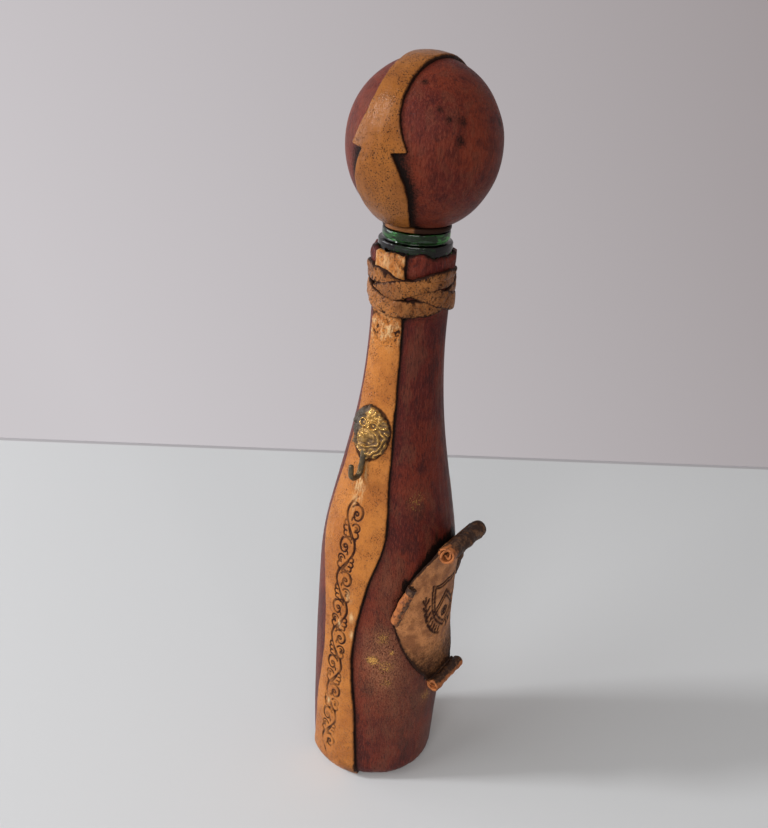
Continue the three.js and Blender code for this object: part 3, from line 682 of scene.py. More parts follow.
def soot_and_ink(shader, ragged, colour):
    """Paints sooty stains and painted shade with a ragged edge, and the ink of a pattern, and gives the
    share of both.
    """
    soot = (shader.mark("soot") + ragged).between(0.2, 0.9)
    shader.paint(soot, colour)
    shader.paint(shader.mark("ink"), INK)
    return soot.or_more(shader.mark("ink"))


def tan_leather(name, tones, pores=1.0, rough=0.29, bumps=0.24):
    """Tan leather with dark pores in clusters, sooty stains and painted shade at its edges, and ink where a
    pattern is pressed in.
    """
    shader = Shader(name)
    light, deep = tones
    fine = shader.noise(0.9, 4, 0.6)
    shader.ground(shader.noise(0.07, 4, 0.55).between(0.36, 0.68), light, deep)
    shader.paint(fine.between(0.48, 0.74) * 0.45, np.multiply(deep, 0.55))
    shader.paint(shader.noise(0.24, 5, 0.7).between(0.55, 0.72) * 0.35, np.multiply(deep, 0.5))
    clusters = (shader.noise(0.14, 4, 0.65) + shader.mark("pits") * 0.28).between(0.47, 0.64)
    specks = clusters * shader.noise(1.8, 2, 0.5).between(0.585, 0.645) * pores
    shader.paint(specks, TAN_PORE)
    # Pale fibres where the pale mark says: wear rubbed pale, and painted highlight on the crests of the
    # rucked strip under the plait
    fibres = shader.noise((0.8, 0.8, 0.16), 5, 0.7).between(0.38, 0.60)
    shader.paint(fibres * shader.mark("pale"), TAN_PALE)
    dull = soot_and_ink(shader, (fine - 0.5) * 0.8, TAN_SOOT_AND_SHADE)
    shader.emboss(shader.cells(1.8), 0.07)
    shader.emboss(fine, bumps)
    shader.emboss(1.0 - specks, 0.2)
    return shader.finished(Roughness=fine.span(rough - 0.09, rough + 0.09),
                           Specular_IOR_Level=dull.span(0.15, 0.04))


def plaque_leather(name):
    """Dull tan sheet with brown specks; its rolls go from orange to scuffed dark brown."""
    shader = Shader(name)
    fine = shader.noise(0.8, 5, 0.65)
    ragged = (fine - 0.5) * 0.9
    shader.ground(shader.noise(0.12, 4, 0.6).between(0.40, 0.62), *PLAQUE_TAN)
    shader.paint(shader.noise(0.30, 5, 0.7).between(0.54, 0.70) * 0.45, PLAQUE_SMUDGE)
    shader.paint(shader.noise(1.3, 4, 0.6).between(0.54, 0.68) * 0.6, PLAQUE_SPECK)
    tone = shader.mark("roll")
    scuffs = shader.noise(0.42, 5, 0.7).between(0.46, 0.66)
    orange = shader.mix(scuffs, *ROLL_ORANGE)
    brown = shader.mix(scuffs, *ROLL_BROWN[::-1])
    # The roll tones are orange and scuffed dark brown, with painted shade round part of the side rolls' turn
    shader.paint(tone.between(0.02, 0.2), shader.mix((tone + ragged).between(0.46, 0.76), orange, brown))
    dull = soot_and_ink(shader, ragged, PLAQUE_SOOT_AND_SHADE)
    shader.emboss(shader.cells(1.4), 0.10)
    shader.emboss(fine, 0.28)
    return shader.finished(Roughness=fine.span(0.44, 0.68), Specular_IOR_Level=dull.span(0.22, 0.05))


def old_brass(name, tones):
    """Brass that is rubbed bright on top and blackened in its recesses."""
    shader = Shader(name)
    bright, dark = tones
    share = (shader.mark("high") - shader.noise(0.7, 5, 0.65) * 0.5).between(-0.55, 0.20)
    # Hollows are blackened by patina; the mark for the left side mixes in a greyer dark brass, patina and
    # painted shade
    shader.ground(share, shader.mix(shader.mark("cold"), dark, PATINA_AND_SHADE_BRASS), bright)
    shader.emboss(shader.noise(1.6, 4, 0.6), 0.18)
    return shader.finished(Metallic=share.span(0.15, 0.85), Roughness=share.span(0.62, 0.24))


def green_glass(name):
    shader = Shader(name)
    shader.colour = GREEN
    shader.emboss(shader.noise((0.10, 0.10, 0.35), 2, 0.5), 0.25)
    return shader.finished(Roughness=0.06, IOR=1.52, Transmission_Weight=1.0, Specular_IOR_Level=0.32)


def plain_fibre(name, tones, per_mm):
    """Wood, cork or the rough side of leather: two tones in grains of one size."""
    shader = Shader(name)
    light, dark = tones
    grain = shader.noise(per_mm, 5, 0.65)
    shader.ground(grain.between(0.35, 0.68), dark, light)
    shader.paint(shader.cells(0.45).between(0.12, 0.02) * 0.7, np.multiply(dark, 0.3))
    shader.emboss(grain, 0.3)
    return shader.finished(Roughness=0.85)


# Glass bottle
def glass_bottle():
    groove = LIP_RADIUS - GROOVE_DEPTH
    lip_foot = RING_TOP + GROOVE_HEIGHT
    inside = BELLY_RADIUS - GLASS_WALL
    foot = FOOT_RADIUS - GLASS_WALL
    floor = FOOT_Z + GLASS_FLOOR
    punt = FOOT_Z + PUNT_HEIGHT

    def corner(radius, z, start):
        return arc(radius, z, GLASS_ROUND, start, 0.25, count=7)

    outline = np.concatenate([
        bezier([(0, punt), (PUNT_RADIUS / 2, punt), (PUNT_RADIUS, FOOT_Z)], 20),
        OUTLINE[OUTLINE[:, 1] < RING_TOP - GLASS_ROUND][::2],
        corner(RING_RADIUS - GLASS_ROUND, RING_TOP - GLASS_ROUND, 0),
        [(groove, RING_TOP), (groove, lip_foot)],
        corner(LIP_RADIUS - GLASS_ROUND, lip_foot + GLASS_ROUND, -TURN / 4),
        corner(LIP_RADIUS - GLASS_ROUND, LIP_TOP - GLASS_ROUND, 0),
        corner(BORE_RADIUS + GLASS_ROUND, LIP_TOP - GLASS_ROUND, TURN / 4),
        bezier([(BORE_RADIUS, NECK_Z), (BORE_RADIUS, NECK_Z - NECK_EASE),
                (inside, SHOULDER_Z + SHOULDER_EASE), (inside, SHOULDER_Z)], 40),
        bezier([(foot, floor + HEEL_RADIUS), (foot, floor), (foot - HEEL_RADIUS, floor)], 10),
        bezier([(PUNT_RADIUS, floor), (PUNT_RADIUS / 2, floor + PUNT_HEIGHT), (0, floor + PUNT_HEIGHT)], 16),
    ])
    piece("bottle_glass", "glass_bottle", "green_glass", turned(outline, 96), green_glass("green_glass"))


# Maroon wrap
def plaque_half(z):
    """Half width of the plaque's sheet at a height."""
    bow_low = (PLAQUE_LOW + PLAQUE_SIDE_LOW) / 2 - PLAQUE_LOW_BOW / 2
    bow_high = (PLAQUE_SIDE_HIGH + PLAQUE_HIGH) / 2 + PLAQUE_HIGH_BOW
    bow_half = (PLAQUE_SHOULDER_HALF + PLAQUE_HEAD_HALF) / 2 + PLAQUE_HIGH_BOW
    edge = np.concatenate([
        bezier([(PLAQUE_FOOT_HALF, PLAQUE_LOW), (PLAQUE_FOOT_HALF + PLAQUE_LOW_BOW, bow_low),
                (PLAQUE_WIDEST_HALF, PLAQUE_SIDE_LOW)], 30),
        bezier([(PLAQUE_SHOULDER_HALF, PLAQUE_SIDE_HIGH), (bow_half, bow_high),
                (PLAQUE_HEAD_HALF, PLAQUE_HIGH)], 30),
    ])
    return np.interp(z, edge[:, 1], edge[:, 0])


def off_plaque(azimuth, z):
    """Distance outside the plaque, roughly."""
    across = np.abs(around(azimuth - PLAQUE_AZIMUTH)) * (BELLY_RADIUS + WRAP_OUTER)
    return np.maximum(across - plaque_half(z), np.maximum(PLAQUE_LOW - 2 - z, z - PLAQUE_HIGH - 2))


def wrap_soot(azimuth, z):
    """How dark the wrap is rubbed beside the strips, round the plaque and under the plait: sooty stains and
    painted shade, which reaches in under the plaque's lifted top.
    """
    # Beside the strips: sooty stain and painted shade from their raised edges
    beside = np.maximum(off_strips(azimuth, z), 0)
    strip = 0.95 * fade(beside, 0.8) + 0.25 * fade(beside, 4)
    # Round the plaque: sooty stain on its edge, and painted shadow, broken up, that reaches in under its
    # lifted top
    lifted = 4.6 * smooth(PLAQUE_SIDE_HIGH - 2, PLAQUE_HIGH, z)
    edge = np.maximum(off_plaque(azimuth, z) + lifted, 0)
    broken = 2.0 * noise(azimuth * 9, z / 6, 6) + 1.6 * noise(azimuth * 26, z / 5 - azimuth * 9, 9)
    high = smooth(PLAQUE_SIDE_LOW - 4, PLAQUE_SIDE_HIGH, z)
    width = 1.4 + 1.6 * smooth(PLAQUE_SIDE_HIGH, PLAQUE_HIGH, z)
    plaque = 0.60 * high * smooth(width + 2.2, width - 1.4, edge + broken)
    plaque += (0.75 - 0.35 * high) * fade(edge, 0.7) + (0.12 + 0.12 * high) * fade(edge, 4)
    plaque *= 1 + 0.5 * high * noise(azimuth * 30, z / 3 - azimuth * 12, 10)
    # Under the plait: painted shade
    plait = 0.5 * fade(np.abs(z - WRAP_SHADE_Z), 1.6)
    rim = 0.6 * smooth(WRAP_TOP - 1.6, WRAP_TOP, z)
    neck = 0.4 * smooth(BRAID_Z + 8, WRAP_TOP, z) * smooth(-0.3, 0.7, noise(azimuth * 4, z / 3, 7))
    return strip + plaque + plait + rim + neck


def wrap_half(name, node, seam):
    z = heights_along(FOOT_Z, WRAP_TOP, 0.85)
    azimuth = half_round(seam, GAP / 2 / radius_at(z), 140)
    torn = 0.9 * noise(azimuth * 3, 0, 3) + 0.5 * noise(azimuth * 9, 0, 4)
    height = z + smooth(WRAP_TOP - 12, WRAP_TOP, z) * torn
    relief = 0.16 * noise(azimuth * 5, z / 26, 1) + 0.08 * noise(azimuth * 22, z / 55, 2)
    crumpled = 0.55 * noise(azimuth * 5, z / 4, 5) + 0.25 * noise(azimuth * 14, z / 1.8, 8)
    relief += smooth(BRAID_Z + 6, WRAP_TOP - 3, z) * crumpled
    fold = around(azimuth - LEFT_SEAM) * RING_RADIUS + FOLD_ASIDE
    relief += 0.8 * bump(fold, z - WRAP_TOP + FOLD_DROP, 3.2, 3.4)
    thick = (WRAP_OUTER - GAP) * rounded(WRAP_TOP - z, 1.1)
    outer = on_glass(azimuth, height, GAP + thick + relief * rounded(WRAP_TOP - z, 2))
    aside = around(azimuth - WORN_AZIMUTH) * BELLY_RADIUS
    rub = 0 * azimuth
    for across, level, wide, tall, strength in WORN_PLACES:
        rub += strength * bump(aside - across, z - level, wide, tall)
    for turn, level, size, strength in GOLD_PLACES:
        away = around(azimuth - turn * DEGREE) * BELLY_RADIUS
        rub += 0.5 * min(1, strength) * bump(away, z - level, 0.8 * size, 0.8 * size)
    material = maroon_leather(name, WRAP_TINT, 1.0, (0.12, 0.12, 0.045), (1.7, 1.7, 0.30), 0.14, GOLD_PLACES)
    piece(name, node, "maroon_leather", slab(outer, on_glass(azimuth, height, 0.1)), material,
          soot=wrap_soot(azimuth, z), rub=rub)


# Tan strips and the vine scroll on one of them
def vine_lines():
    """Running scroll: a waving stem with a curl in each hollow, and leaves where the stem crosses over."""
    unit_height = (VINE_HIGH - VINE_LOW) / VINE_CURLS
    y = np.linspace(VINE_LOW, VINE_HIGH, 1500)
    lines = [np.stack([-VINE_SWING * np.sin(TURN / 2 * (VINE_HIGH - y) / unit_height), y], -1)]
    y = np.linspace(-0.27, 0.27, 30) * unit_height
    curls = [
        np.stack([(VINE_SWING + 0.4) * np.cos(TURN / 2 * y / unit_height), y], -1),
        arc(0, 0, 5.0, 35 * DEGREE, 1.15, 1.2, 110) * (0.76, 1) + (-1.6, 0),
        arc(0, 0.2, 4.4, 120 * DEGREE, 0.3, 3.3) * (0.82, 1) + (-1.6, 0),
        arc(-1.5, 0.3, 0.8, 60 * DEGREE, 0.75),
        bezier([(-0.6, -1.6), (0.9, -2.0), (0.6, -3.4)], 20),
        bezier([(2.6, 5.2), (0.8, 5.9), (-1.4, 4.9)], 24),
    ]
    leaves = [
        arc(-2.7, -6.6, 2.3, 20 * DEGREE, 0.72, 1.6),
        arc(-3.0, -9.9, 1.6, 70 * DEGREE, 0.5),
        arc(-2.6, -6.7, 0.7, 60 * DEGREE, 0.6),
        bezier([(-3.5, -11.4), (-3.1, -12.6), (-3.7, -14)], 20),
        bezier([(2.2, -11.4), (1.6, -12.3), (0.4, -12.7)], 20),
        bezier([(1.9, -6.2), (0.8, -9.0), (-1.4, -12.4)], 40),
    ]
    leaves += [arc(x, y, 1.25, 110 * DEGREE, -0.5) for x, y in ((3.2, -5.5), (3.3, -8.0), (2.6, -10.4))]
    for k in range(VINE_CURLS):
        middle = VINE_HIGH - (k + 0.5) * unit_height
        shapes = curls + leaves if k < VINE_CURLS - 1 else curls
        lines += [shape * (1 if k % 2 else -1, 1) + (0, middle) for shape in shapes]
    return lines


def off_lines(lines, x, y, reach):
    """Distance of places from drawn lines, up to a reach."""
    points = np.concatenate(lines)
    tree = KDTree(len(points))
    for k, (px, py) in enumerate(points):
        tree.insert((px, py, 0), k)
    tree.balance()
    x, y = np.broadcast_arrays(x, y)
    low, high = points.min(0) - reach, points.max(0) + reach
    near = (x > low[0]) & (x < high[0]) & (y > low[1]) & (y < high[1])
    distance = np.full(x.shape, float(reach))
    distance[near] = [tree.find((px, py, 0))[2] for px, py in zip(x[near], y[near])]
    return distance


def strip_grid(vine):
    """Heights, half widths and places across a strip, and the middle of its vine, where the grid is fine."""
    fine = heights_along(STRIP_FOOT_Z, FINE_TOP, 0.26 if vine else 0.9)
    z = np.concatenate([fine, heights_along(FINE_TOP, WRAP_TOP, 0.7)[1:]])
    half = strip_half(z) + 0.2 * noise(z / 7, 0, 11) + 0.1 * noise(z / 2.2, 0, 12)
    drop = np.clip((VINE_HIGH - z) / (VINE_HIGH - VINE_LOW), 0, 1)
    middle = VINE_ASIDE - VINE_DRIFT * drop ** 3
    band = np.linspace(-1, 1, 53 if vine else 13)[None, :] * np.minimum(VINE_BAND, 0.6 * half) + middle
    outward = np.linspace(0, 1, 16)[None, 1:] ** 0.7
    right = band[:, -1:] + (half - band[:, -1:]) * outward
    left = band[:, :1] - (half + band[:, :1]) * outward
    return z, half, np.concatenate([left[:, ::-1], band, right], 1), middle


def vine_ink(across, z, middle):
    """How dark the vine is, fainter towards the foot."""
    ink = smooth(VINE_LINE + 0.2, VINE_LINE - 0.14, off_lines(vine_lines(), across - middle, z, 1.2))
    faded = 0.3 * smooth(*VINE_FADE, z)
    return ink * np.clip(0.9 - faded + (0.35 + faded) * noise(across * 0.6, z * 0.25, 15), 0, 1)


def seam_strip(name, node, seam, vine):
    z, half, across, middle = strip_grid(vine)
    azimuth = strip_middle(seam, z) + across / (radius_at(z) + STRIP_OUTER)
    torn = 0.9 * noise(across / 3.0, 0, 13) + 0.45 * noise(across / 1.1, 0, 14)
    height = z + smooth(WRAP_TOP - 8, WRAP_TOP, z) * torn
    side = np.maximum(half - np.abs(across), 0)
    border = np.minimum(side, np.minimum(WRAP_TOP - z, (z - STRIP_FOOT_Z) * 2 + 0.1))
    ink = 0 * across
    under = bump(0 * across, z - RUCKED_Z, 1, 6) + 0.5 * smooth(BRAID_Z + 5, BRAID_Z + 9, z)
    folds = noise((across + z) / 2.6, (z - 0.6 * across) / 3.4, 19)
    folds += 0.5 * noise(across + z, 0.7 * z - across, 22)
    # Pale on the crests of the rucked folds is painted highlight; the strip is also a little paler towards
    # its top
    pale = under * smooth(-0.1, 0.6, folds) + 0.12 * smooth(WRAP_TOP - 7, WRAP_TOP - 1, z)
    pits = 0.22 + 0.8 * under + 0.5 * smooth(STRIP_FOOT_Z + 16, STRIP_FOOT_Z, z)
    pits += 0.9 * smooth(BRAID_Z + 4, WRAP_TOP, z)
    stained = smooth(STRIP_FOOT_Z + 18, STRIP_FOOT_Z, z) * smooth(-0.1, 0.5, noise(across / 2, z / 4, 20))
    # Dark along the edges and at the top, sooty stains at the foot, and painted shade under the plait
    soot = 0.95 * fade(side, 0.4) + 0.2 * fade(side, 2) + 0.3 * fade(np.abs(WRAP_TOP - z), 0.4)
    soot += 0.5 * stained + 0.5 * fade(np.abs(z - STRIP_SHADE_Z), 1.2)
    # Painted shade in the troughs of the rucked folds
    soot += 0.9 * under * smooth(-0.2, -0.7, folds)
    if vine:
        worn = bump(across - 0.4, z - MASK_Z + 24, 2.6, 11)
        pale += 1.1 * worn * smooth(-0.45, 0.2, noise(across / 1.2, z / 6, 18))
        for spot, level, size in PALE_SPOTS:
            pale += 1.1 * bump(across - spot, z - level, size, 1.9 * size)
        ink = vine_ink(across, z, middle) * (1 - 0.7 * np.clip(pale, 0, 1))
        # Painted shade round the lion mask
        from_mask = np.hypot(across / (MASK_WIDTH / 2), (z - MASK_Z) / (MASK_HEIGHT / 2))
        soot += 0.8 * smooth(1.10, 1.0, from_mask)
    relief = 0.10 * noise(across / 5, z / 9, 16) + 0.05 * noise(across / 1.7, z / 2.6, 17)
    relief += 0.45 * under * folds
    low = WRAP_OUTER - 0.1
    lift = low + (STRIP_OUTER - low) * rounded(border, 0.9) + relief * rounded(border, 2) - VINE_DEPTH * ink
    solid = slab(on_glass(azimuth, height, lift), on_glass(azimuth, height, low - 0.4))
    piece(name, node, "tan_leather", solid, tan_leather(name, STRIP_TAN, 0.8),
          soot=soot, ink=ink, pale=pale, pits=pits)


# Plait round the neck
def braid_level(phase):
    """1 where a thong is on top, 0 where it runs below."""
    x = np.mod(phase, TURN / 2)
    rising = smooth(TURN / 4 - BRAID_RAMP, TURN / 4 + BRAID_RAMP, x)
    falling = smooth(TURN / 2 - BRAID_RAMP, TURN / 2 + BRAID_RAMP, x)
    return rising * (1 - falling) + 1 - smooth(-BRAID_RAMP, BRAID_RAMP, x)


def neck_thong(number):
    node = f"neck_braid_{number + 1}"
    seed = 30 + 5 * number
    phase = np.linspace(0, TURN, 361)[None, :]
    share = edge_spaced(25)[:, None]
    radius = NECK_RADIUS + WRAP_OUTER
    slope = np.arctan2(-BRAID_RISE * np.sin(phase), radius)
    across = share * (THONG_WIDTH / 2 + 0.3 * ring_noise(phase, 7, seed, np.sign(share)))
    z = BRAID_Z + BRAID_RISE * np.cos(phase) + across * np.cos(slope)
    azimuth = phase + BRAID_TURN + number * TURN / THONG_COUNT - across * np.sin(slope) / radius
    climb = 0.7 * (STRIP_OUTER - WRAP_OUTER) * smooth(5.0, -1.5, off_strips(azimuth, z))
    level = braid_level(phase)
    low = WRAP_OUTER - 0.25 + climb + level * (THONG_THICKNESS - 0.1)
    border = THONG_WIDTH / 2 * (1 - np.abs(share))
    cracks = smooth(0.12, 0.03, np.abs(ring_noise(phase, 26, seed + 5, 1.5 * share, 3 * share)))
    cracks *= smooth(-0.25, 0.25, ring_noise(phase, 9, seed + 6, share))
    relief = 0.22 * ring_noise(phase, 12, seed + 1, share, share) - 0.25 * cracks
    relief += 0.10 * ring_noise(phase, 40, seed + 2, 2 * share, 4 * share)
    crown = 0.3 * (1 - share ** 2)
    lift = low + THONG_THICKNESS * rounded(border, 0.8) + (crown + relief) * rounded(border, 1.6)
    # Dark edges and cracks, with painted shade on the edges where the thong runs under another
    soot = 1.1 * fade(border, 0.6) + 0.5 * (1 - level) * np.abs(share) ** 2 + 0.65 * cracks
    soot += 0.45 * smooth(0.1, 0.7, ring_noise(phase, 22, seed + 4, 2 * share, -2 * share))
    pits = 0.9 + 0.5 * ring_noise(phase, 5, seed + 3, share)
    solid = slab(on_glass(azimuth, z, lift), on_glass(azimuth, z, low - 0.3), closed=True)
    piece(node + "_thong", node, "braid_leather", solid, tan_leather(node + "_leather", THONG_TAN),
          soot=soot, pale=np.full_like(soot, 0.06), pits=pits)


# Scroll plaque
def plaque_point(u, z, lift):
    """Point of the plaque at u across and height z, lifted off its inner face."""
    away = np.minimum(1, np.abs(z - (PLAQUE_LOW + PLAQUE_HIGH) / 2) / ((PLAQUE_HIGH - PLAQUE_LOW) / 2)) ** 4
    centre = BELLY_RADIUS + WRAP_OUTER + GAP
    bend = np.maximum(1e-6, (1 - away) / centre)
    reach = centre + PLAQUE_LIFT * away - (1 - np.cos(bend * u)) / bend
    sideways = round_axis(PLAQUE_AZIMUTH + TURN / 4, np.sin(bend * u) / bend, 0)
    return round_axis(PLAQUE_AZIMUTH, reach, z) + sideways + round_axis(PLAQUE_AZIMUTH + bend * u, lift, 0)


def shield_lines():
    """A plain shield with a chevron and a rosette, between two sprigs."""
    def outline(half, top, foot):
        left = bezier([(0, foot), (-half, foot + 7), (-half, 1), (-half, top)], 80)
        brow = bezier([(-half, top), (-half / 2, top - 2.0), (0, top)], 40)
        side = np.concatenate([left, brow])
        return np.concatenate([side, side[::-1] * (-1, 1)])

    lines = [outline(10.6, 12, -15), outline(9.0, 10.4, -12.6)]
    for drop in (0, 0.5, 3.0):
        rafter = bezier([(-8.8, -4.0 - drop), (0, 5.5 - drop)], 70)
        lines += [rafter, rafter * (-1, 1)]
    for turn in np.linspace(0, TURN, 6)[:-1] + TURN / 4:
        lines.append(arc(1.5 * math.cos(turn), 1.5 * math.sin(turn) - 6.4, 1.1, 0, 1, count=24))
    for side in (-1, 1):
        sprig = bezier([(side * 3.5, -18), (side * 13, -15), (side * 14.5, 7)], 70)
        lines.append(sprig)
        for k in range(6, 70, 8):
            for way in (-1, 1):
                leaf = bezier([(0, 0), (way * 1.5, 0.9), (way * 1.7, 2.9)], 18) * (side, 1)
                lines.append(sprig[k] + leaf)
    return [line + (0, SHIELD_Z) for line in lines]


def roll(radius, length, origin, edge, normal, torn, tone, seed):
    """A rolled edge whose sheet runs along edge, with its outside along normal, and how dark it is.

    Torn is how far the leather frays at one end, minus at the start and plus at the end of the roll."""
    pitch = PLAQUE_THICKNESS + ROLL_AIR
    turns = (radius - PLAQUE_THICKNESS - ROLL_EYE) / pitch
    turn = np.concatenate([[-0.12], np.linspace(0, turns, 72)])[None, :]
    share = np.linspace(-1, 1, 81)[:, None]
    frayed = share * np.sign(torn)
    tatters = np.abs(torn) * smooth(-0.3, 0.9, frayed) * (noise(turn * 3.3, 0, seed + 1) - 0.2)
    along = share * (length / 2 + 0.2 * noise(turn * 4, 0, seed) + tatters)
    fray = smooth(0.6, 1.0, frayed) * min(1, abs(torn))
    swell = 1 + 0.10 * noise(along / 3, turn * 2, seed + 2) + 0.06 * noise(along / 1.6, turn * 8, seed + 3)
    swell += 0.05 * noise(along / 7, turn * 10, seed + 1) + 0.2 * fray * noise(turn * 5, along / 3, seed + 1)
    reach = (radius - pitch * np.maximum(turn, 0)) * swell
    angle = TURN * turn - TURN / 4
    lead = np.where(turn < 0, -ROLL_LEAD, -ROLL_LEAD / 2)
    axis = np.cross(edge, normal)

    def skin(depth):
        right = np.where(turn < 0, lead, lead + (reach - depth) * np.cos(angle))
        up = np.where(turn < 0, depth, radius + (reach - depth) * np.sin(angle)) + 0.2
        return origin + right[..., None] * edge + up[..., None] * normal + along[..., None] * axis

    dark = tone(np.mod(turn, 1.0), share) + 0.22 * noise(along / 4, turn * 9, seed + 3)
    dark *= 1 - 0.4 * smooth(0.95, 1.0, np.abs(share))
    return slab(skin(0.0), skin(PLAQUE_THICKNESS * 0.92)), dark


def plaque_rolls():
    """Size, place, directions, fraying and tone of the four rolls."""
    up = np.array([0.0, 0.0, 1.0])
    front = round_axis(PLAQUE_AZIMUTH, 1.0, 0.0)
    rolls = [
        (*TOP_ROLL, plaque_point(0.0, PLAQUE_HIGH, 0.0), up, front, -2.2,
         lambda turn, share: 1 - 0.66 * smooth(-0.45, -0.95, share)),
        (*BOTTOM_ROLL, plaque_point(0.0, PLAQUE_LOW, 0.0), -up, front, 1.2,
         lambda turn, share: smooth(0.50, 0.66, turn) * (1 - 0.6 * smooth(0.6, 0.95, share))),
    ]
    for side, tone in ((-1, 0.12), (1, 0.7)):
        low = plaque_point(side * PLAQUE_WIDEST_HALF, PLAQUE_SIDE_LOW, 0.0)
        high = plaque_point(side * PLAQUE_SHOULDER_HALF, PLAQUE_SIDE_HIGH, 0.0)
        along = unit(high - low)
        edge = side * unit(np.cross(along, (low + high) * (1, 1, 0)))
        # Side rolls: one orange and one dark, darker at one end, with painted shade round part of their turn
        rolls.append((SIDE_ROLL_RADIUS, np.linalg.norm(high - low), (low + high) / 2, edge,
                      np.cross(edge, along) * side, 1.0 * side, lambda turn, share, tone=tone:
                      tone + 0.42 * smooth(0.28, 0.52, turn) + smooth(0.60, 0.85, share)))
    return rolls


def scroll_plaque():
    z = np.linspace(PLAQUE_LOW - 0.5, PLAQUE_HIGH + 0.5, 250)[:, None]
    flare = 5.5 * fade(PLAQUE_HIGH - z, 2.0) + 3.5 * fade(z - PLAQUE_LOW, 2.0)
    share = edge_spaced(151)[None, :]
    apart = 7 * np.sign(share)
    ragged = 0.35 * noise(z / 4 + apart, 0, 51) + 0.2 * noise(z / 1.3 + apart, 0, 52)
    half = plaque_half(z) + ragged + np.minimum(flare, 6)
    across = share * half
    ink = smooth(0.82, 0.44, off_lines(shield_lines(), across, z, 1.0))
    ink *= np.clip(0.95 + 0.3 * noise(across, z, 53), 0, 1)
    relief = 0.16 * noise(across / 4, z / 4, 54) + 0.09 * noise(across / 1.2, z / 1.2, 55)
    border = half - np.abs(across)
    lift = PLAQUE_THICKNESS * rounded(border, 0.8) + relief * rounded(border, 1.6) - 0.25 * ink
    ends = np.maximum(np.minimum(z - PLAQUE_LOW, PLAQUE_HIGH - z), 0)
    # Sooty edges, painted shade where the sheet meets its rolls, and darker towards the foot
    soot = 0.85 * fade(border, 0.4) + 0.25 * fade(border, 2.5) + 0.6 * fade(ends, 2.5)
    soot += 0.62 * smooth(PLAQUE_LOW + 34, PLAQUE_LOW + 10, z)
    parts = [(slab(plaque_point(across, z, lift), plaque_point(across, z, -0.15)), soot, ink, 0 * soot)]
    for k, shape in enumerate(plaque_rolls()):
        solid, dark = roll(*shape, 60 + 4 * k)
        parts.append((solid, 0 * dark, 0 * dark, 0.25 + 0.75 * dark))
    solids, *marks = zip(*parts)
    soot, ink, tone = [np.concatenate([np.tile(np.ravel(values), 2) for values in mark]) for mark in marks]
    piece("scroll_plaque_leather", "scroll_plaque", "plaque_leather", joined(solids),
          plaque_leather("plaque_leather"), soot=soot, ink=ink, roll=tone)


# Lion mask and hook
MASK_AZIMUTH = strip_middle(LEFT_SEAM, MASK_Z)


def mask_point(u, v, lift):
    """Point on the strip at u across and v up from the mask's middle, lifted off the strip."""
    z = MASK_Z + v
    return on_glass(MASK_AZIMUTH + u / (radius_at(z) + STRIP_OUTER), z, STRIP_OUTER + lift)


def lion_relief(u, v, reach, turn):
    """Height of the lion's face at u across and v up; reach and turn give the same place in the round."""
    def at(at_u, at_v, size_u, size_v):
        return bump(u - at_u, v - at_v, size_u, size_v)

    def ring(at_u, at_v, radius, width):
        return bump(np.hypot(u - at_u, v - at_v) - radius, 0, width, 1)

    def locks(start, end, count, seed):
        """A ring of tufts that run outwards, each with a rounded tip and a few hairs."""
        astray = 0.5 * ring_noise(turn, 2.4, seed, 5, 5)
        phase = count * (turn + 0.3 * np.sin(4 * reach + seed)) / TURN + astray
        aside = 2 * np.abs(np.mod(phase, 1) - 0.5)
        tip = end - 0.10 * aside ** 2 + 0.25 * astray
        body = np.sqrt(1 - aside ** 2) + 0.12 * np.cos(3 * TURN * phase)
        return body * smooth(start, start + 0.1, reach) * smooth(tip, tip - 0.07, reach)

    eyes = sum(0.9 * ring(*eye, EYE_RADIUS, 0.5) + 0.5 * at(*eye, 0.6, 0.6) for eye in EYES)
    forehead = 1.1 * at(1.4, 9.2, 2.6, 2.4) - 0.6 * at(1.1, 9.0, 0.35, 2.0)
    nose = 0.9 * at(0.4, 3.2, 0.8, 2.2) + 1.0 * at(-0.1, 0.4, 1.3, 0.9)
    muzzle = 1.2 * at(-0.8, -1.6, 2.1, 2.0) + 0.4 * np.cos(5.0 * u + 0.6 * v) * at(-0.9, -0.6, 2.0, 1.4)
    mouth = -1.1 * at(2.4, -2.2, 1.6, 1.2) - 0.8 * at(0.2, -4.4, 2.2, 0.5) + 0.9 * at(0.8, -5.8, 2.4, 0.7)
    ears = 0.8 * (ring(7.0, 6.0, 1.9, 0.55) + ring(-4.8, 9.4, 1.7, 0.55))
    away = np.hypot(u - 0.5, v + 1.5)
    folds = np.cos(2.6 * away + 3.4 * noise(u / 3, v / 3, 75)) * smooth(3.0, 4.5, away) * smooth(4.5, 1.5, v)
    mane = 0.45 * locks(0.68, 1.06, 13, 73) + 0.45 * folds + 0.35 * noise((u + v) / 1.6, (u - v) / 1.6, 76)
    dome = 1.0 + 2.2 * (1 - reach ** 2)
    return dome + mane + eyes + forehead + nose + muzzle + mouth + ears


def softened(height, passes):
    """The relief with its small forms blurred away; columns run right round."""
    for _ in range(passes):
        wide = np.concatenate([height[:, -3:-1], height, height[:, 1:3]], 1)
        height = (wide[:, :-4] + wide[:, 1:-3] + wide[:, 2:-2] + wide[:, 3:-1] + wide[:, 4:]) / 5
        tall = np.concatenate([height[:1], height, height[-1:]])
        height = (tall[:-2] + tall[1:-1] + tall[2:]) / 3
    return height


